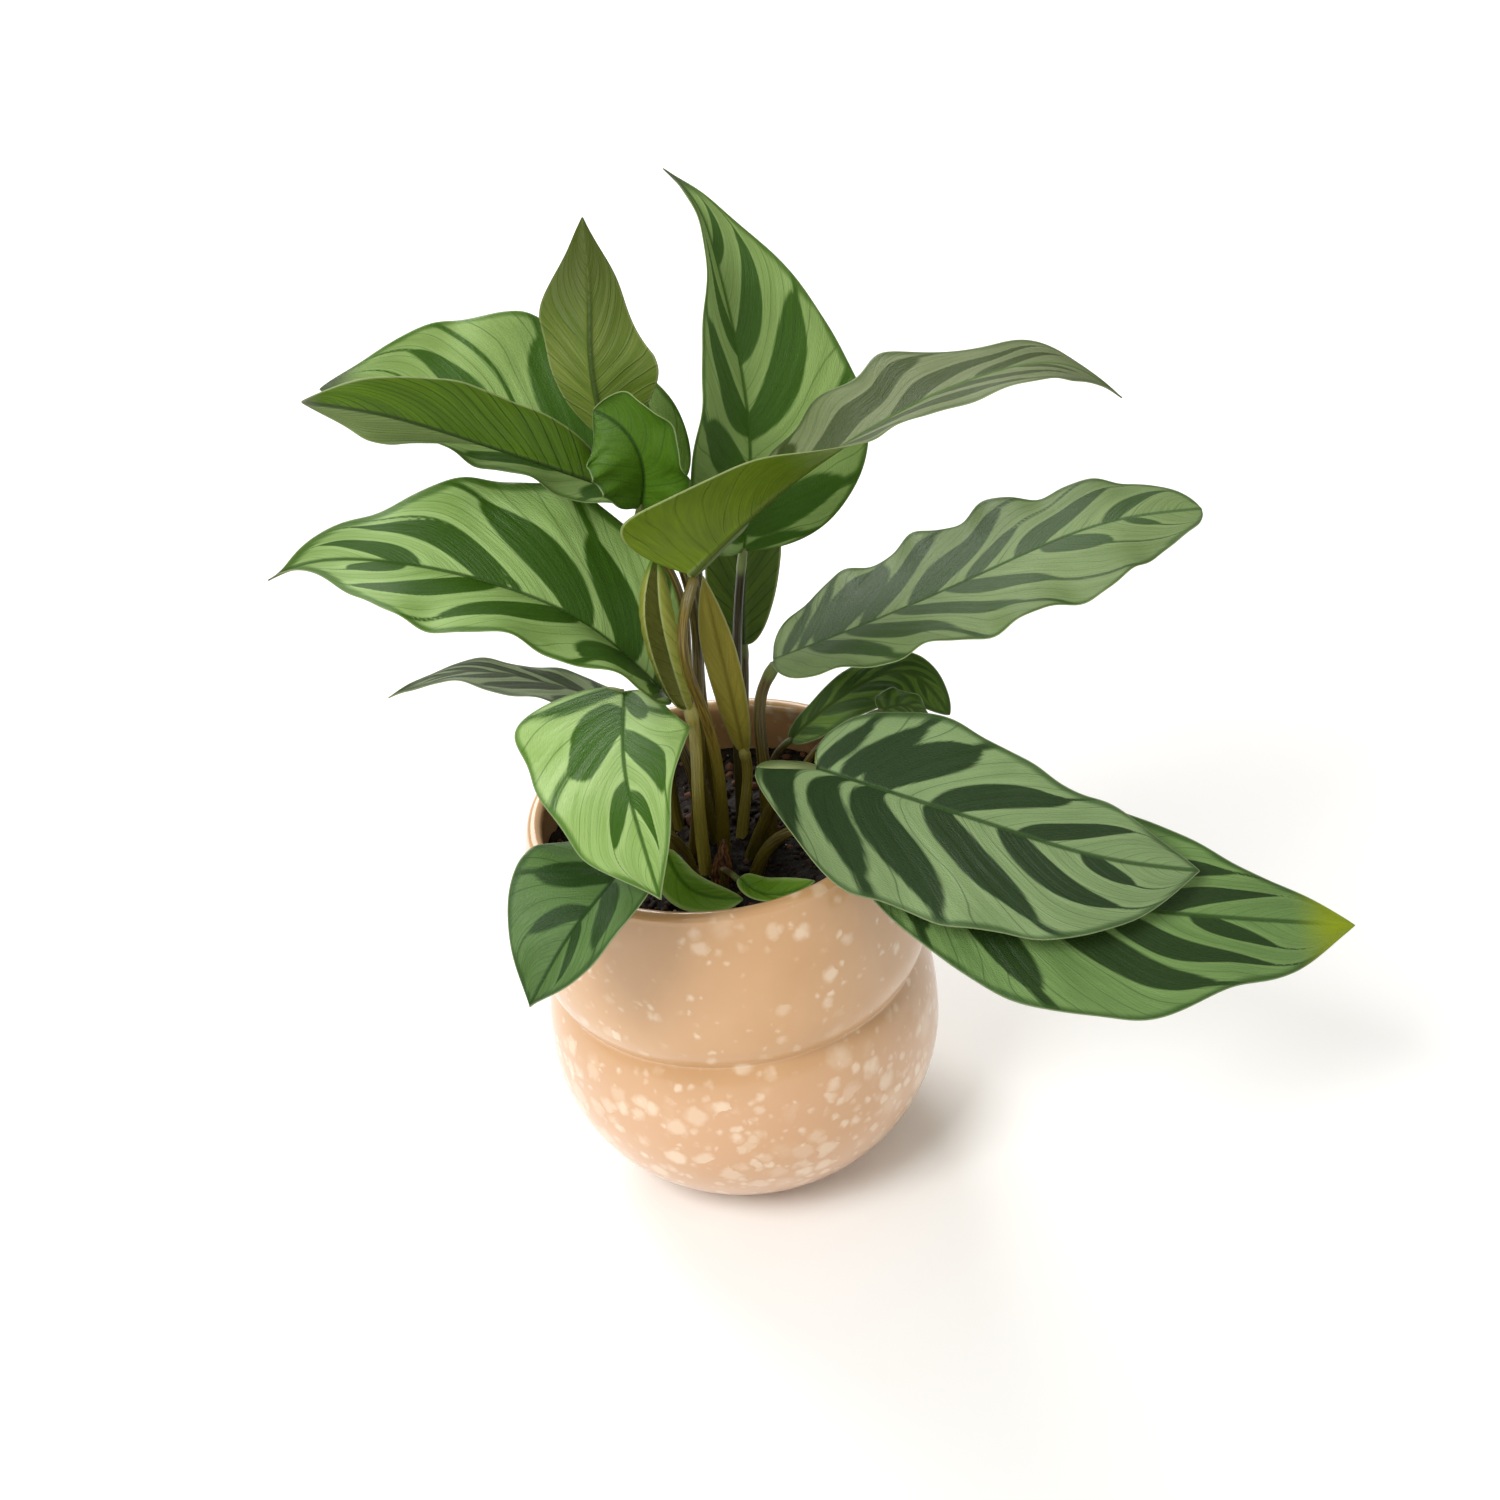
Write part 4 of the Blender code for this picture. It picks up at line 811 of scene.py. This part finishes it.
@dataclass
class Stalk:
    """A leaf's stalk, from its hole in the soil up into the blade's keel."""

    plan: LeafPlan
    sides: int = 20
    steps: int = 70
    lead: float = 5.0
    hole: float = 12.0
    soil: float = 97.0

    def route(self) -> Array:
        """Points of the stalk: up from the soil and into the blade along its midrib or from below."""
        plan = self.plan
        start = np.asarray(plan.spine[0], float)
        forward = unit(curve_through(plan.spine, np.array([0.02]))[0] - start)
        face = np.asarray(plan.face[0], float)
        up = unit(face - (face @ forward) * forward)
        angle = np.radians(plan.seat_angle)
        approach = np.cos(angle) * forward + np.sin(angle) * up
        drop = 0.35 + plan.stalk_radius[1] * np.cos(angle) if plan.seat_angle else 0.0
        top = start - drop * up
        foot = np.asarray(plan.stalk[0], float)
        places = np.linspace(0, 1, self.steps + 1)
        line = curve_through([foot, *plan.stalk[1:], top - self.lead * approach, top], places)
        below = foot - np.array([0, 0, self.hole])
        return np.concatenate([[below], line, [top + 0.9 * approach]])

    def build(self) -> bpy.types.Object:
        """Carry a grooved round section along the route.

        The radius falls from the sheathed foot as a power of the way up and swells a little in
        the pale joint below the blade; a shallow channel runs up the front of the sheath.
        """
        line = self.route()
        share = np.concatenate([[0.0], np.linspace(0, 1, self.steps + 1), [1.0]])
        base, tip = self.plan.stalk_radius
        radius = tip + (base - tip) * (1 - share) ** 1.5
        radius = radius + 0.14 * tip * np.exp(-(((share - 0.95) / 0.035) ** 2))
        radius[-1] = 0.45 * tip
        forward = unit(np.gradient(line, axis=0))
        first = unit(np.cross(forward, np.array([1.0, 0.0, 0.0])))
        second = np.cross(forward, first)
        turn = np.arange(self.sides) * 2 * np.pi / self.sides
        channel = 1 - 0.16 * np.exp(-(((turn - 0.5 * np.pi) / 0.45) ** 2))[None, :] * step(share, 0.85, 0.5)[:, None]
        ring = np.cos(turn)[None, :, None] * first[:, None] + np.sin(turn)[None, :, None] * second[:, None]
        points = line[:, None] + ring * (radius[:, None] * channel)[..., None]
        rows = len(line)
        faces = grid_faces(rows, self.sides, True).tolist()
        faces += [list(range(self.sides))[::-1], [(rows - 1) * self.sides + k for k in range(self.sides)]]
        far = np.concatenate([[0.0], np.linalg.norm(np.diff(line, axis=0), axis=1).cumsum()])
        around = 6 * np.abs(turn / np.pi - 1)
        marks = np.stack([np.broadcast_to(around[None, :], points.shape[:2]),
                          np.broadcast_to(far[:, None], points.shape[:2]),
                          np.broadcast_to(share[:, None], points.shape[:2])], -1)
        tint = TINT_OF.get(self.plan.name, BROWN)
        key = (tint.name, "stalk")
        if key not in MADE:
            MADE[key] = tint.material()
        item = piece("dressed_stalk_" + self.plan.name, points.reshape(-1, 3), faces, [MADE[key]],
                     marks={"stem_place": marks.reshape(-1, 3)})
        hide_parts("stalk_" + self.plan.name)
        return item


@dataclass
class Pot:
    """The pot: two rounded tiers turned about the axis, with a soft crease and a rounded lip."""

    foot: float = 29.6
    lip: float = 111.4
    wall: float = 4.2
    floor: float = 6.0
    sides: int = 160
    lower: dict[str, float] = field(default_factory=lambda: {
        "middle": 41.0, "radius": 54.2, "above": 37.4, "below": 48.5, "above_power": 3.0, "below_power": 2.0})
    upper: dict[str, float] = field(default_factory=lambda: {
        "middle": 85.0, "radius": 54.0, "above": 62.0, "below": 30.1, "above_power": 2.4, "below_power": 4.0})
    blend: float = 0.5

    def _tier(self, height: Array, tier: dict[str, float]) -> Array:
        """Radius of one tier at a height: a rounded barrel about its middle."""
        high = height > tier["middle"]
        share = np.clip(np.abs(height - tier["middle"]) / np.where(high, tier["above"], tier["below"]), 0, 1)
        power = np.where(high, tier["above_power"], tier["below_power"])
        return tier["radius"] * (1 - share**power) ** (1 / power)

    def outside(self, height: Array) -> Array:
        """Outer radius: the larger of the two tiers, blended where they meet in the crease."""
        low, high = self._tier(height, self.lower), self._tier(height, self.upper)
        return 0.5 * (low + high + np.sqrt((low - high) ** 2 + self.blend**2))

    def inside(self, height: Array) -> Array:
        """Radius of the hollow at a height."""
        return self.outside(np.maximum(height, 12.0)) - self.wall

    def profile(self) -> Array:
        """Radii and heights of the section, from the foot over the lip to the middle of the floor."""
        up = np.concatenate([np.linspace(1.2, 57, 46), np.linspace(58, 69, 34), np.linspace(70, self.lip, 40)])
        walls = np.stack([self.outside(up), up], -1)
        turn = np.radians(np.linspace(9, 171, 15))
        middle = self.outside(np.array([self.lip]))[0] - self.wall / 2
        lip = np.stack([middle + self.wall / 2 * np.cos(turn), self.lip + self.wall / 2 * np.sin(turn)], -1)
        down = np.linspace(self.lip, 12, 60)
        hollow = np.stack([self.inside(down), down], -1)
        foot = np.array([[0.001, 0.6], [self.foot - 3.5, 0.6], [self.foot - 2.6, 0.0], [self.foot - 0.4, 0.0],
                         [self.foot + 0.3, 0.25]])
        floor = np.array([[hollow[-1, 0] - 2.0, self.floor + 2.0], [hollow[-1, 0] - 5.0, self.floor],
                          [0.001, self.floor]])
        return np.concatenate([foot, walls, lip, hollow, floor])

    def build(self) -> bpy.types.Object:
        """Turn the section about the axis and glaze it."""
        section = self.profile()
        turn = np.arange(self.sides) * 2 * np.pi / self.sides
        wobble = 1 + 0.0012 * np.sin(2 * turn + 0.4)[None, :] * (section[:, 1] / 113.0)[:, None]
        radius = section[:, 0][:, None] * wobble
        points = np.stack([radius * np.cos(turn), radius * np.sin(turn),
                           np.broadcast_to(section[:, 1][:, None], radius.shape)], -1)
        faces = grid_faces(len(section), self.sides, True).tolist()
        last = (len(section) - 1) * self.sides
        faces += [list(range(self.sides))[::-1], [last + k for k in range(self.sides)]]
        item = piece("glazed_pot", points.reshape(-1, 3), faces, [self.glaze()])
        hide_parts("pot")
        return item

    def glaze(self) -> bpy.types.Material:
        """Glazed stoneware, thrown and fired: glossy beige with soft paler spots under the glaze.

        Round spots of 2 to 6 mm stand about 9 mm apart above, and crowd into clouds below.
        """
        board = Board("Speckled beige glaze")
        place = board.add("ShaderNodeTexCoord").outputs["Object"]
        place = board.add("ShaderNodeVectorMath", {0: place, 1: (1000.0, 1000.0, 1000.0)},
                          operation="MULTIPLY").outputs[0]
        height = board.add("ShaderNodeSeparateXYZ", {0: place}).outputs["Z"]
        stir = board.add("ShaderNodeTexNoise", {"Vector": place, "Scale": 0.28, "Detail": 2.0}).outputs["Color"]
        moved = board.add("ShaderNodeVectorMath", {0: stir, 1: (3.2, 3.2, 3.2), 2: place},
                          operation="MULTIPLY_ADD").outputs[0]
        lower = board.add("ShaderNodeMapRange", {"Value": height, "From Min": 66.0, "From Max": 48.0},
                          interpolation_type="SMOOTHSTEP").outputs[0]
        spots = None
        for spacing, size, soft, share in ((6.5, 3.0, 1.4, 0.85), (3.6, 1.5, 0.9, 0.75), (13.0, 5.5, 3.5, 0.6)):
            cells = board.add("ShaderNodeTexVoronoi", {"Vector": moved, "Scale": 1 / spacing, "Randomness": 1.0})
            pick = board.add("ShaderNodeSeparateColor", {0: cells.outputs["Color"]}).outputs
            wide = board.add("ShaderNodeMath", {0: pick[0], 1: size / spacing, 2: -size * (1 - share) / spacing},
                             operation="MULTIPLY_ADD").outputs[0]
            grown = board.add("ShaderNodeMath", {0: lower, 1: 0.45 * size / spacing, 2: wide},
                              operation="MULTIPLY_ADD").outputs[0]
            depth = board.add("ShaderNodeMath", {0: grown, 1: cells.outputs["Distance"]},
                              operation="SUBTRACT").outputs[0]
            mask = board.add("ShaderNodeMapRange", {"Value": depth, "From Min": -soft * 0.5 / spacing,
                                                    "From Max": soft / spacing}, interpolation_type="SMOOTHSTEP").outputs[0]
            strength = board.add("ShaderNodeMapRange", {"Value": pick[1], "To Min": 0.35, "To Max": 0.95}).outputs[0]
            mask = board.add("ShaderNodeMath", {0: mask, 1: strength}, operation="MULTIPLY").outputs[0]
            spots = mask if spots is None else board.add("ShaderNodeMath", {0: spots, 1: mask},
                                                         operation="MAXIMUM").outputs[0]
        cloud = board.add("ShaderNodeTexNoise", {"Vector": place, "Scale": 0.05, "Detail": 3.0}).outputs["Fac"]
        body = board.add("ShaderNodeMix", {0: cloud, 6: linear("#BE905E"), 7: linear("#CFA478")},
                         data_type="RGBA").outputs[2]
        body = board.add("ShaderNodeMix", {0: lower, 6: body, 7: linear("#CDA077")}, data_type="RGBA").outputs[2]
        colour = board.add("ShaderNodeMix", {0: spots, 6: body, 7: linear("#E3CBAE")}, data_type="RGBA").outputs[2]
        ripple = board.add("ShaderNodeTexNoise", {"Vector": place, "Scale": 0.07, "Detail": 1.0}).outputs["Fac"]
        bump = board.add("ShaderNodeBump", {"Height": ripple, "Distance": 0.001, "Strength": 0.25})
        clay = board.add("ShaderNodeBsdfPrincipled", {
            "Base Color": colour, "Roughness": 0.3, "Normal": bump.outputs[0],
            "Coat Weight": 0.6, "Coat Roughness": 0.08, "Coat IOR": 1.5})
        board.add("ShaderNodeOutputMaterial", {"Surface": clay.outputs[0]})
        return board.material


class Crumb(Enum):
    """What the lumps on the soil are: name, colours, count, least and greatest size in mm."""

    PEAT = ("peat", "#1E130D", "#33221A", 900, 0.5, 1.5)
    BARK = ("bark", "#4A2E1E", "#7A5038", 90, 0.8, 2.2)
    GRIT = ("grit", "#A89C8A", "#D0C6B4", 50, 0.3, 0.7)


@dataclass
class Soil:
    """The potting mix: a closed body under an uneven top, with crumbs of three kinds on it."""

    pot: Pot
    height: float = 97.5
    crown: float = 2.0
    gap: float = 0.3

    def top(self, x: Array, y: Array) -> Array:
        """Height of the soil's top: a low crown with lumps of three sizes summed."""
        edge = self.pot.inside(np.array([self.height]))[0]
        share = np.clip(np.hypot(x, y) / edge, 0, 1)
        flat = np.stack([x, y], -1)
        lumps = 0.9 * waves(flat, 1, 14.0) + 0.55 * waves(flat, 2, 5.0) + 0.3 * waves(flat, 3, 1.8)
        return self.height + self.crown * (1 - share**2) + 0.8 * lumps * (1 - 0.5 * share**4) - 0.6

    def build(self) -> list[bpy.types.Object]:
        """Make the body and the crumbs."""
        sides, rings = 220, 64
        turn = np.arange(sides) * 2 * np.pi / sides
        edge = self.pot.inside(np.array([self.height]))[0] - self.gap
        radii = edge * np.linspace(1, 0.01, rings)
        x, y = radii[:, None] * np.cos(turn), radii[:, None] * np.sin(turn)
        lid = np.stack([x, y, self.top(x, y)], -1)
        heights = np.array([8.3, 12, 22, 40, 62, 80, 92])
        wall = self.pot.inside(heights)[:, None] - self.gap - np.array([3.5, 0, 0, 0, 0, 0, 0])[:, None]
        side = np.stack([wall * np.cos(turn), wall * np.sin(turn),
                         np.broadcast_to(heights[:, None], (len(heights), sides))], -1)
        points = np.concatenate([side, lid])
        faces = grid_faces(len(points), sides, True).tolist()
        last = (len(points) - 1) * sides
        faces += [list(range(sides))[::-1], [last + k for k in range(sides)]]
        # The body's two browns are near black: damp peat's own dark colour, darkened further as painted shade from the
        # leaves over the soil.
        body = piece("soil_body", points.reshape(-1, 3), faces, [self.earth("Damp potting mix with painted shade", "#110A06", "#22150D")])
        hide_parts("soil")
        return [body] + [self.crumbs(kind, seed) for seed, kind in enumerate(Crumb)]

    def crumbs(self, kind: Crumb, seed: int) -> bpy.types.Object:
        """Scatter one kind of crumb: squashed lumps, each a ball moved by its own random draw."""
        name, dark, light, count, least, most = kind.value
        draw = np.random.default_rng(40 + seed)
        ball = np.array([[0, 0, 1], [0.9, 0, 0.45], [0.28, 0.85, 0.45], [-0.72, 0.53, 0.45], [-0.72, -0.53, 0.45],
                         [0.28, -0.85, 0.45], [0.72, 0.53, -0.45], [-0.28, 0.85, -0.45], [-0.9, 0, -0.45],
                         [-0.28, -0.85, -0.45], [0.72, -0.53, -0.45], [0, 0, -1]])
        shell = np.array([[0, 1, 2], [0, 2, 3], [0, 3, 4], [0, 4, 5], [0, 5, 1], [1, 6, 2], [2, 6, 7], [2, 7, 3],
                          [3, 7, 8], [3, 8, 4], [4, 8, 9], [4, 9, 5], [5, 9, 10], [5, 10, 1], [1, 10, 6],
                          [6, 11, 7], [7, 11, 8], [8, 11, 9], [9, 11, 10], [10, 11, 6]])
        edge = self.pot.inside(np.array([self.height]))[0] - 2.0
        far = edge * np.sqrt(draw.uniform(0, 1, count))
        turn = draw.uniform(0, 2 * np.pi, count)
        size = draw.uniform(least, most, count)
        x, y = far * np.cos(turn), far * np.sin(turn)
        middle = np.stack([x, y, self.top(x, y) + 0.15 * size], -1)
        stretch = draw.uniform(0.6, 1.25, (count, 1, 3)) * draw.uniform(0.8, 1.2, (count, 12, 1))
        spin = draw.uniform(0, 2 * np.pi, count)
        lumps = ball[None] * stretch * size[:, None, None]
        turned = np.stack([lumps[..., 0] * np.cos(spin)[:, None] - lumps[..., 1] * np.sin(spin)[:, None],
                           lumps[..., 0] * np.sin(spin)[:, None] + lumps[..., 1] * np.cos(spin)[:, None],
                           lumps[..., 2] * 0.8], -1)
        points = (middle[:, None] + turned).reshape(-1, 3)
        faces = (shell[None] + 12 * np.arange(count)[:, None, None]).reshape(-1, 3)
        item = piece("soil_" + name, points, faces, [self.earth("Potting mix " + name, dark, light)])
        return item

    def earth(self, name: str, dark: str, light: str) -> bpy.types.Material:
        """Damp peat or what lies in it, crumbled: matt, each crumb a little different."""
        board = Board(name)
        place = board.add("ShaderNodeTexCoord").outputs["Object"]
        coarse = board.add("ShaderNodeTexNoise", {"Vector": place, "Scale": 420.0, "Detail": 3.0}).outputs["Fac"]
        fine = board.add("ShaderNodeTexNoise", {"Vector": place, "Scale": 1500.0, "Detail": 2.0}).outputs["Fac"]
        blend = board.add("ShaderNodeMapRange", {"Value": coarse, "From Min": 0.35, "From Max": 0.7}).outputs[0]
        colour = board.add("ShaderNodeMix", {0: blend, 6: linear(dark), 7: linear(light)}, data_type="RGBA").outputs[2]
        bump = board.add("ShaderNodeBump", {"Height": fine, "Distance": 0.0005, "Strength": 0.8})
        crumb = board.add("ShaderNodeBsdfPrincipled", {"Base Color": colour, "Roughness": 0.85,
                                                       "Normal": bump.outputs[0]})
        board.add("ShaderNodeOutputMaterial", {"Surface": crumb.outputs[0]})
        return board.material


@dataclass
class Husk:
    """The dry husk at the foot of the stalks: a crumpled papery spindle."""

    route: tuple[Row, ...] = ((-1, -17, 94), (-1, -17, 100), (0, -16, 106), (1, -15, 111))
    radii: Row = (2.0, 2.8, 2.2, 0.5)
    sides: int = 36
    steps: int = 44

    def build(self) -> bpy.types.Object:
        """Carry a pleated ring along the route: its radius swings with the angle and the height."""
        places = np.linspace(0, 1, self.steps + 1)
        line = curve_through(self.route, places)
        radius = spread(self.radii, places)[:, 0]
        turn = np.arange(self.sides) * 2 * np.pi / self.sides
        pleat = 1 + 0.12 * np.sin(5 * turn[None, :] + 4 * places[:, None]) + 0.06 * np.sin(11 * turn[None, :])
        flat = radius[:, None] * pleat
        points = np.stack([line[:, 0][:, None] + flat * np.cos(turn), line[:, 1][:, None] + flat * np.sin(turn),
                           np.broadcast_to(line[:, 2][:, None], flat.shape)], -1)
        faces = grid_faces(len(line), self.sides, True).tolist()
        last = (len(line) - 1) * self.sides
        faces += [list(range(self.sides))[::-1], [last + k for k in range(self.sides)]]
        item = piece("dressed_husk", points.reshape(-1, 3), faces, [self.paper()])
        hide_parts("husk")
        return item

    def paper(self) -> bpy.types.Material:
        """Dead sheath, dried to paper: streaked dark red brown and orange brown."""
        board = Board("Dry papery husk")
        place = board.add("ShaderNodeTexCoord").outputs["Object"]
        drawn = board.add("ShaderNodeVectorMath", {0: place, 1: (1600.0, 1600.0, 260.0)},
                          operation="MULTIPLY").outputs[0]
        streaks = board.add("ShaderNodeTexNoise", {"Vector": drawn, "Scale": 1.0, "Detail": 3.0}).outputs["Fac"]
        blend = board.add("ShaderNodeMapRange", {"Value": streaks, "From Min": 0.4, "From Max": 0.66}).outputs[0]
        colour = board.add("ShaderNodeMix", {0: blend, 6: linear("#3E1F12"), 7: linear("#A06A3C")},
                           data_type="RGBA").outputs[2]
        bump = board.add("ShaderNodeBump", {"Height": streaks, "Distance": 0.0006, "Strength": 0.7})
        dry = board.add("ShaderNodeBsdfPrincipled", {"Base Color": colour, "Roughness": 0.6,
                                                     "Normal": bump.outputs[0]})
        board.add("ShaderNodeOutputMaterial", {"Surface": dry.outputs[0]})
        return board.material


@dataclass
class Studio:
    """A pale floor, soft lamps and the camera."""

    pitch: float = 33.8
    roll: float = 7.6
    camera_mm: Row = (10.92, -583.01, 518.31)
    lens: float = 64.0

    def build(self) -> None:
        """Set up the floor, the light and the camera."""
        self.floor()
        self.lamp("key", (-0.75, -0.75, 1.25), (0.0, 0.0, 0.14), 0.7, 19.0)
        self.lamp("fill", (0.95, -0.7, 0.8), (0.0, 0.0, 0.12), 1.0, 2.5)
        self.lamp("back", (-0.35, 1.0, 1.0), (0.0, 0.0, 0.16), 0.9, 15.0)
        world = bpy.data.worlds.new("Studio")
        world.use_nodes = True
        shade = world.node_tree.nodes["Background"].inputs
        shade["Color"].default_value = linear("#FBF9F4")
        shade["Strength"].default_value = 0.5
        bpy.context.scene.world = world
        bpy.context.scene.view_settings.view_transform = "Standard"
        self.camera()

    def floor(self) -> None:
        """A wide plain sheet just under the foot."""
        board = Board("Pale floor")
        paint = board.add("ShaderNodeBsdfPrincipled", {"Base Color": linear("#F7F7F6"), "Roughness": 0.8})
        board.add("ShaderNodeOutputMaterial", {"Surface": paint.outputs[0]})
        mesh = bpy.data.meshes.new("floor")
        mesh.from_pydata([(-6, -6, 0), (6, -6, 0), (6, 6, 0), (-6, 6, 0)], [], [(0, 1, 2, 3)])
        mesh.materials.append(board.material)
        sheet = bpy.data.objects.new("floor", mesh)
        bpy.context.collection.objects.link(sheet)

    def lamp(self, name: str, place: Row, aim: Row, size: float, power: float) -> None:
        """A square soft lamp that faces a point.

        Args:
            name: Name of the lamp.
            place: Where it hangs, in metres.
            aim: The point it faces, in metres.
            size: Length of its sides in metres.
            power: Its power in watts.
        """
        data = bpy.data.lights.new(name, "AREA")
        data.shape, data.size, data.energy = "SQUARE", size, power
        lamp = bpy.data.objects.new(name, data)
        away = unit(np.asarray(place) - np.asarray(aim))
        side = unit(np.cross([0.0, 0.0, 1.0], away))
        lamp.matrix_world = pose(side, np.cross(away, side), away, place)
        bpy.context.collection.objects.link(lamp)

    def camera(self) -> None:
        """Look down at the plant at the pitch and roll that the picture was taken with."""
        p, r = np.radians(self.pitch), np.radians(self.roll)
        level, rise = np.array([1.0, 0.0, 0.0]), np.array([0.0, np.sin(p), np.cos(p)])
        look = np.array([0.0, np.cos(p), -np.sin(p)])
        right = np.cos(r) * level - np.sin(r) * rise
        up = np.sin(r) * level + np.cos(r) * rise
        data = bpy.data.cameras.new("camera")
        data.lens, data.sensor_width, data.clip_start = self.lens, 36.0, 0.01
        view = bpy.data.objects.new("camera", data)
        view.matrix_world = pose(right, up, -look, np.asarray(self.camera_mm) * MM)
        bpy.context.collection.objects.link(view)
        bpy.context.scene.camera = view


def pose(x: Array, y: Array, z: Array, place: Row) -> Matrix:
    """A placing matrix from three axes and a place."""
    rows = np.eye(4)
    rows[:3, 0], rows[:3, 1], rows[:3, 2], rows[:3, 3] = x, y, z, place
    return Matrix(rows.tolist())


def main() -> None:
    """Build and dress every piece in order, and report each."""
    logging.basicConfig(level=logging.INFO, format="%(name)s: %(message)s")
    pot = Pot()
    made = [pot.build(), *Soil(pot).build(), Husk().build()]
    for plan in LEAVES:
        made += [Blade(plan).build(), Stalk(plan).build()]
    total = 0
    for item in made:
        count = sum(len(face.vertices) - 2 for face in item.data.polygons)
        total += count
        LOG.info("%s: %d triangles", item.name, count)
    LOG.info("all pieces: %d triangles", total)
    Studio().build()


if __name__ == "__main__":
    main()
